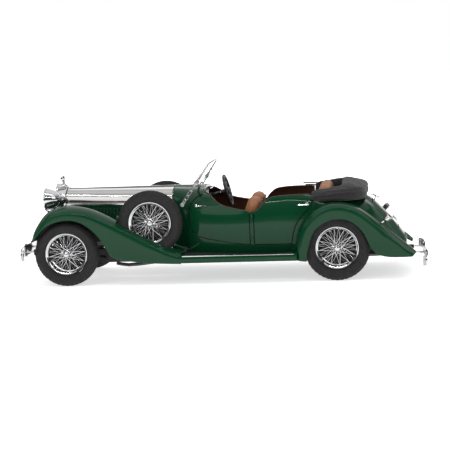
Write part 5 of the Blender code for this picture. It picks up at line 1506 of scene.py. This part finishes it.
def make_seats():
    """Sewn pads on trimmed plinths, with a shell behind each front back."""
    for side, name in SIDES:
        centre = side * 12.4
        make_pad(f"front_seat_back_{name}", (19.8, 0.6, 24.6, 1.6, 7.4), 2.9, 2.6,
                 [(21.2, 17.4), (22.4, 24.0), (24.8, 33.0), (26.6, 38.5), (27.9, 42.2)], centre, 3.1, 0.34,
                 3 + side, f"front_seat_{name}")
        make_pad(f"front_seat_cushion_{name}", (19.6, 0.3, 14.2, 2.2, 1.4), 2.4, 1.9,
                 [(8.6, 21.4), (22.4, 20.6)], centre, 3.1, 0.3, 7 + side)
        base = Shape().box((9.2, centre - 9.0, 15.75), (22.4, centre + 9.0, 19.2), 0, 0.5)
        shell = [[(x + (0.9 if a <= pi else 1.5), centre + half * cos(a), z)
                  for a in np.linspace(0, tau, 33)[:-1]]
                 for x, z, half in ((20.9, 16.0, 9.7), (23.6, 24.0, 9.7), (26.2, 32.0, 9.6),
                                    (27.4, 36.0, 9.0), (28.2, 38.6, 7.2))]
        base.solid(refine(np.array(shell), 17, 32))
        place(base.make(f"front_seat_base_{name}", BROWN_TRIM), "car", "tan_leather")
    make_pad("rear_seat_back", (41.4, 0.4, 22.2, 1.5, 5.6), 2.8, 2.5,
             [(57.2, 24.6), (59.2, 32.0), (61.0, 40.0), (62.9, 46.4)], 0, 3.4, 0.34, 12, "rear_seat")
    make_pad("rear_seat_cushion", (41.4, 0.3, 13.2, 2.0, 1.2), 2.3, 1.8, [(43.7, 28.6), (57.0, 27.8)], 0, 3.4,
             0.3, 15)
    base = Shape().box((44.0, -20.4, 15.75), (49.0, 20.4, 26.2), 0, 0.5)
    base.box((48.2, -20.4, 22.9), (58.0, 20.4, 26.2), 0, 0.5)
    place(base.make("rear_seat_base", BROWN_TRIM), "car", "tan_leather")


HOOD_LINE = [(56.2, 25.6), (62.0, 25.6), (67.0, 25.3), (71.6, 24.3), (74.6, 21.4), (75.8, 16.5), (76.2, 9.0),
             (76.3, 0.0)]
# Along the hood's line: distance share, half width, underside z and the top's z at its inner edge.
HOOD_SIZE = ((0.0, 2.0, 39.0, 44.6), (0.06, 2.6, 38.8, 45.2), (0.20, 3.3, 38.75, 45.9),
             (0.40, 4.4, 38.75, 46.9), (0.60, 6.2, 38.75, 47.6), (1.0, 6.7, 38.75, 47.9))
HOOD_SLOPE = 2.9
# Each side's two irons: side, y, the front ends' x and z, upper then lower, and their fall to the back.
HOOD_IRONS = ((1, 24.9, 48.9, 43.8, 50.0, 42.7, 0.6), (-1, 25.4, 52.2, 40.4, 53.2, 39.5, -0.4))
HOOD_X, HOOD_Z = 70, 42  # the middle of the bundle, about which it is simulated


def hood_path(count):
    half = catmull(HOOD_LINE, count)
    return np.concatenate([half[:-1], half[::-1] * (1, -1)])


def hood_section(share, count=64):
    """A folded bundle: flat below, soft layered pleats on the outer side and a slack, nearly flat top."""
    w, low, high = between(HOOD_SIZE, share)
    mid, h = (low + high) / 2, (high - low) / 2
    section = []
    for k in range(count):
        a = k * tau / count
        c, s = cos(a), sin(a)
        power = 0.36 if c > 0 else 0.6
        y = w * copysign(abs(c) ** power, c)
        z = mid + h * copysign(abs(s) ** power, s)
        if c > 0.25:
            rise = (z - low) / (high - low)
            y -= 0.9 * (1 - rise) * rise + 0.6 * sin(rise * tau * 2.2 + 5 * share) * min(1, (c - 0.25) * 3)
        z -= HOOD_SLOPE * (y / w + 1) / 2 * max(0.0, (z - low) / (high - low))
        section.append((y, z))
    return section


def make_hood():
    """The folded hood: one slack bundle of cloth in a U, simulated, then creased, with its irons."""
    path = hood_path(40)
    count = len(path)
    rows = []
    for i, (x, y) in enumerate(path):
        before, after = path[max(i - 1, 0)], path[min(i + 1, count - 1)]
        along = Vector(after - before).normalized()
        outward = Vector((-along.y, along.x))
        share = min(i, count - 1 - i) / (count // 2)
        rows.append([(x + outward.x * a - HOOD_X, y + outward.y * a, z - HOOD_Z) for a,
                     z in hood_section(share)])

    def end_ring(row, scale, push):
        middle = np.mean(row, axis=0)
        return [tuple(middle + (np.array(p) - middle) * scale - (push, 0, 0)) for p in row]

    tips = ((0.45, 1.0), (0.8, 0.75))
    bundle = Shape().solid([end_ring(rows[0], *tip) for tip in tips] + rows +
                           [end_ring(rows[-1], *tip) for tip in tips[::-1]])
    hood = swollen(bundle, "folded_hood_cloth", 0.42, 0.12, 1.0, 1)

    def change(p):
        x, y, z = p.x + HOOD_X, p.y, p.z + HOOD_Z
        wrinkle = crease(Vector((p.x * 0.35, p.y * 0.35, p.z)), 1.5, 0.20, 21)
        wrinkle += crease(p, 7.0, 0.22, 33)
        z = z + wrinkle if z > 39.8 else z
        return (x, y + copysign(0.25 * wrinkle, y), max(z, 38.72))

    reshape(hood, change)
    set_materials(hood.data, HOOD_CLOTH)
    place(hood, "car", "hood_cloth", "folded_hood")
    irons = Shape()
    for side, y, high_x, high_z, low_x, low_z, drop_by in HOOD_IRONS:
        for x, z in ((high_x, high_z), (low_x, low_z)):
            end_z = z - drop_by
            irons.tube([(x, side * y, z), (x + 2.0, side * y, z), (60.0, side * 25.4, end_z)],
                       [0.3, 0.34, 0.34], 10)
        irons.tube([(57.2, side * y, low_z - 0.4), (57.2, side * y, high_z + 0.2)], 0.4, 10)
    place(irons.make("hood_irons", CHASSIS_BLACK), "car", "black_metal")


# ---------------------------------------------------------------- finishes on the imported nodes, and the
# studio

def finish_nodes():
    """Gives each node that stays visible its own procedural finish."""
    finishes = {"chassis_frame": CHASSIS_BLACK, "front_axle": CHASSIS_BLACK,
                "rear_axle_casing": CHASSIS_BLACK,
                "rear_axle": STEEL, "steering_knuckle_left": STEEL, "steering_knuckle_right": STEEL,
                "tie_rod": STEEL, "engine_block": ENGINE_GREY, "rocker_cover": STEEL,
                "exhaust_pipe": DARK_STEEL}
    for name, finish in finishes.items():
        set_materials(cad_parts[name].data, finish)


def make_floor():
    """A white sweep that glows, more as it runs away from the car: painted light that keeps it white where the
    lamps' light falls off, and glows less near the car so that the car's real shadow shows.
    """
    mat = new_material("studio_floor", (0.9, 0.9, 0.9), 0.6)
    roughen(mat, noise_of(mat, 40, 3), 0.55, 0.7)
    distance = node(mat, "ShaderNodeVectorMath")
    distance.operation = "LENGTH"
    link(mat, node(mat, "ShaderNodeTexCoord").outputs["Object"], distance.inputs[0])
    set_inputs(shader_of(mat), Emission_Color=(1, 1, 1, 1))
    link(mat, spread(mat, distance.outputs["Value"], 0.6, 0.95, 0.06, 0.35),
         shader_of(mat).inputs["Emission Strength"])
    floor = Shape().grid([[(r * cos(a), r * sin(a), 0) for a in np.linspace(0, tau, 97)[:-1]]
                          for r in (9000, 3000, 600, 150)], 0, True)
    floor.faces.append(tuple(3 * 96 + k for k in range(96)))
    floor.numbers.append(0)
    obj = floor.make("studio_floor", mat)
    if obj.data.polygons[0].normal.z < 0:
        obj.data.flip_normals()


def area_light(name, at, size, power, target=(0, 0, 0.025)):
    data = bpy.data.lights.new(name, "AREA")
    data.shape = "RECTANGLE"
    data.size, data.size_y = size
    data.energy = power
    obj = new_object(name, data)
    obj.location = at
    obj.rotation_euler = (Vector(target) - Vector(at)).to_track_quat("-Z", "Y").to_euler()


# The room's grey by height: a direction's z and the grey there. Its bands show in the bright metal.
SKY = ((0.0, 1.0), (0.06, 1.0), (0.12, 0.10), (0.24, 0.22), (0.36, 0.30), (0.42, 0.85), (0.50, 0.85),
       (0.56, 0.14), (0.66, 0.18), (0.78, 0.5), (1.0, 0.6))


def make_studio():
    """A white backdrop in a darker banded room, so that bright metal has something to reflect, and soft
    lamps."""
    world = bpy.data.worlds.new("studio")
    bpy.context.scene.world = world
    bpy.context.scene.view_settings.view_transform = "Standard"
    world.use_nodes = True
    background = world.node_tree.nodes["Background"]
    split = node(world, "ShaderNodeSeparateXYZ")
    ramp = node(world, "ShaderNodeValToRGB")
    link(world, node(world, "ShaderNodeTexCoord").outputs["Generated"], split.inputs["Vector"])
    link(world, split.outputs["Z"], ramp.inputs["Fac"])
    link(world, ramp.outputs["Color"], background.inputs["Color"])
    while len(ramp.color_ramp.elements) < len(SKY):
        ramp.color_ramp.elements.new(0.5)
    for element, (position, grey) in zip(ramp.color_ramp.elements, SKY):
        element.position = position
        element.color = (grey, grey, grey, 1)
    link(world, spread(world, split.outputs["Y"], 0.3, 1.0, -0.3, 0.2), background.inputs["Strength"])
    area_light("overhead", (0.0, -0.05, 0.75), (1.6, 1.3), 3.4)
    area_light("front_left", (-0.45, -0.75, 0.55), (0.7, 0.5), 1.6)
    area_light("rear_left", (0.6, -0.6, 0.5), (0.4, 0.4), 0.8)
    area_light("far_side", (0.1, 0.8, 0.6), (0.9, 0.5), 1.2)
    area_light("high_strip", (0.0, -0.35, 0.8), (0.9, 0.012), 1.3)
    area_light("low_strip", (0.1, -0.8, 0.55), (0.6, 0.012), 0.7)


AZIMUTH, ELEVATION, ROLL = radians(6.135), radians(6.473), radians(-2.184)
CAMERA_DISTANCE = 0.7187
LENS_MM = 111.9
SENSOR_MM = 36
CAMERA_TARGET = Vector((-0.00001, 0.0, 0.02517))


def make_camera():
    data = bpy.data.cameras.new("photo_angle")
    data.lens = LENS_MM
    data.sensor_width = SENSOR_MM
    obj = new_object("photo_angle", data)
    back = Vector((sin(AZIMUTH) * cos(ELEVATION), -cos(AZIMUTH) * cos(ELEVATION), sin(ELEVATION)))
    right = Vector((0, 0, 1)).cross(back).normalized()
    up = back.cross(right)
    right, up = right * cos(ROLL) + up * sin(ROLL), up * cos(ROLL) - right * sin(ROLL)
    turn = Matrix((right, up, back)).transposed()
    obj.matrix_world = Matrix.Translation(CAMERA_TARGET + back * CAMERA_DISTANCE) @ turn.to_4x4()
    bpy.context.scene.camera = obj


for step in (make_camera, make_floor, make_studio, finish_nodes, make_body, make_wings, make_running_boards,
             make_bonnet, make_radiator, make_wheels, make_lamps, make_bumpers, make_door_fittings,
             make_screen,
             make_steering_wheel, make_dashboard, make_seats, make_hood):
    step()
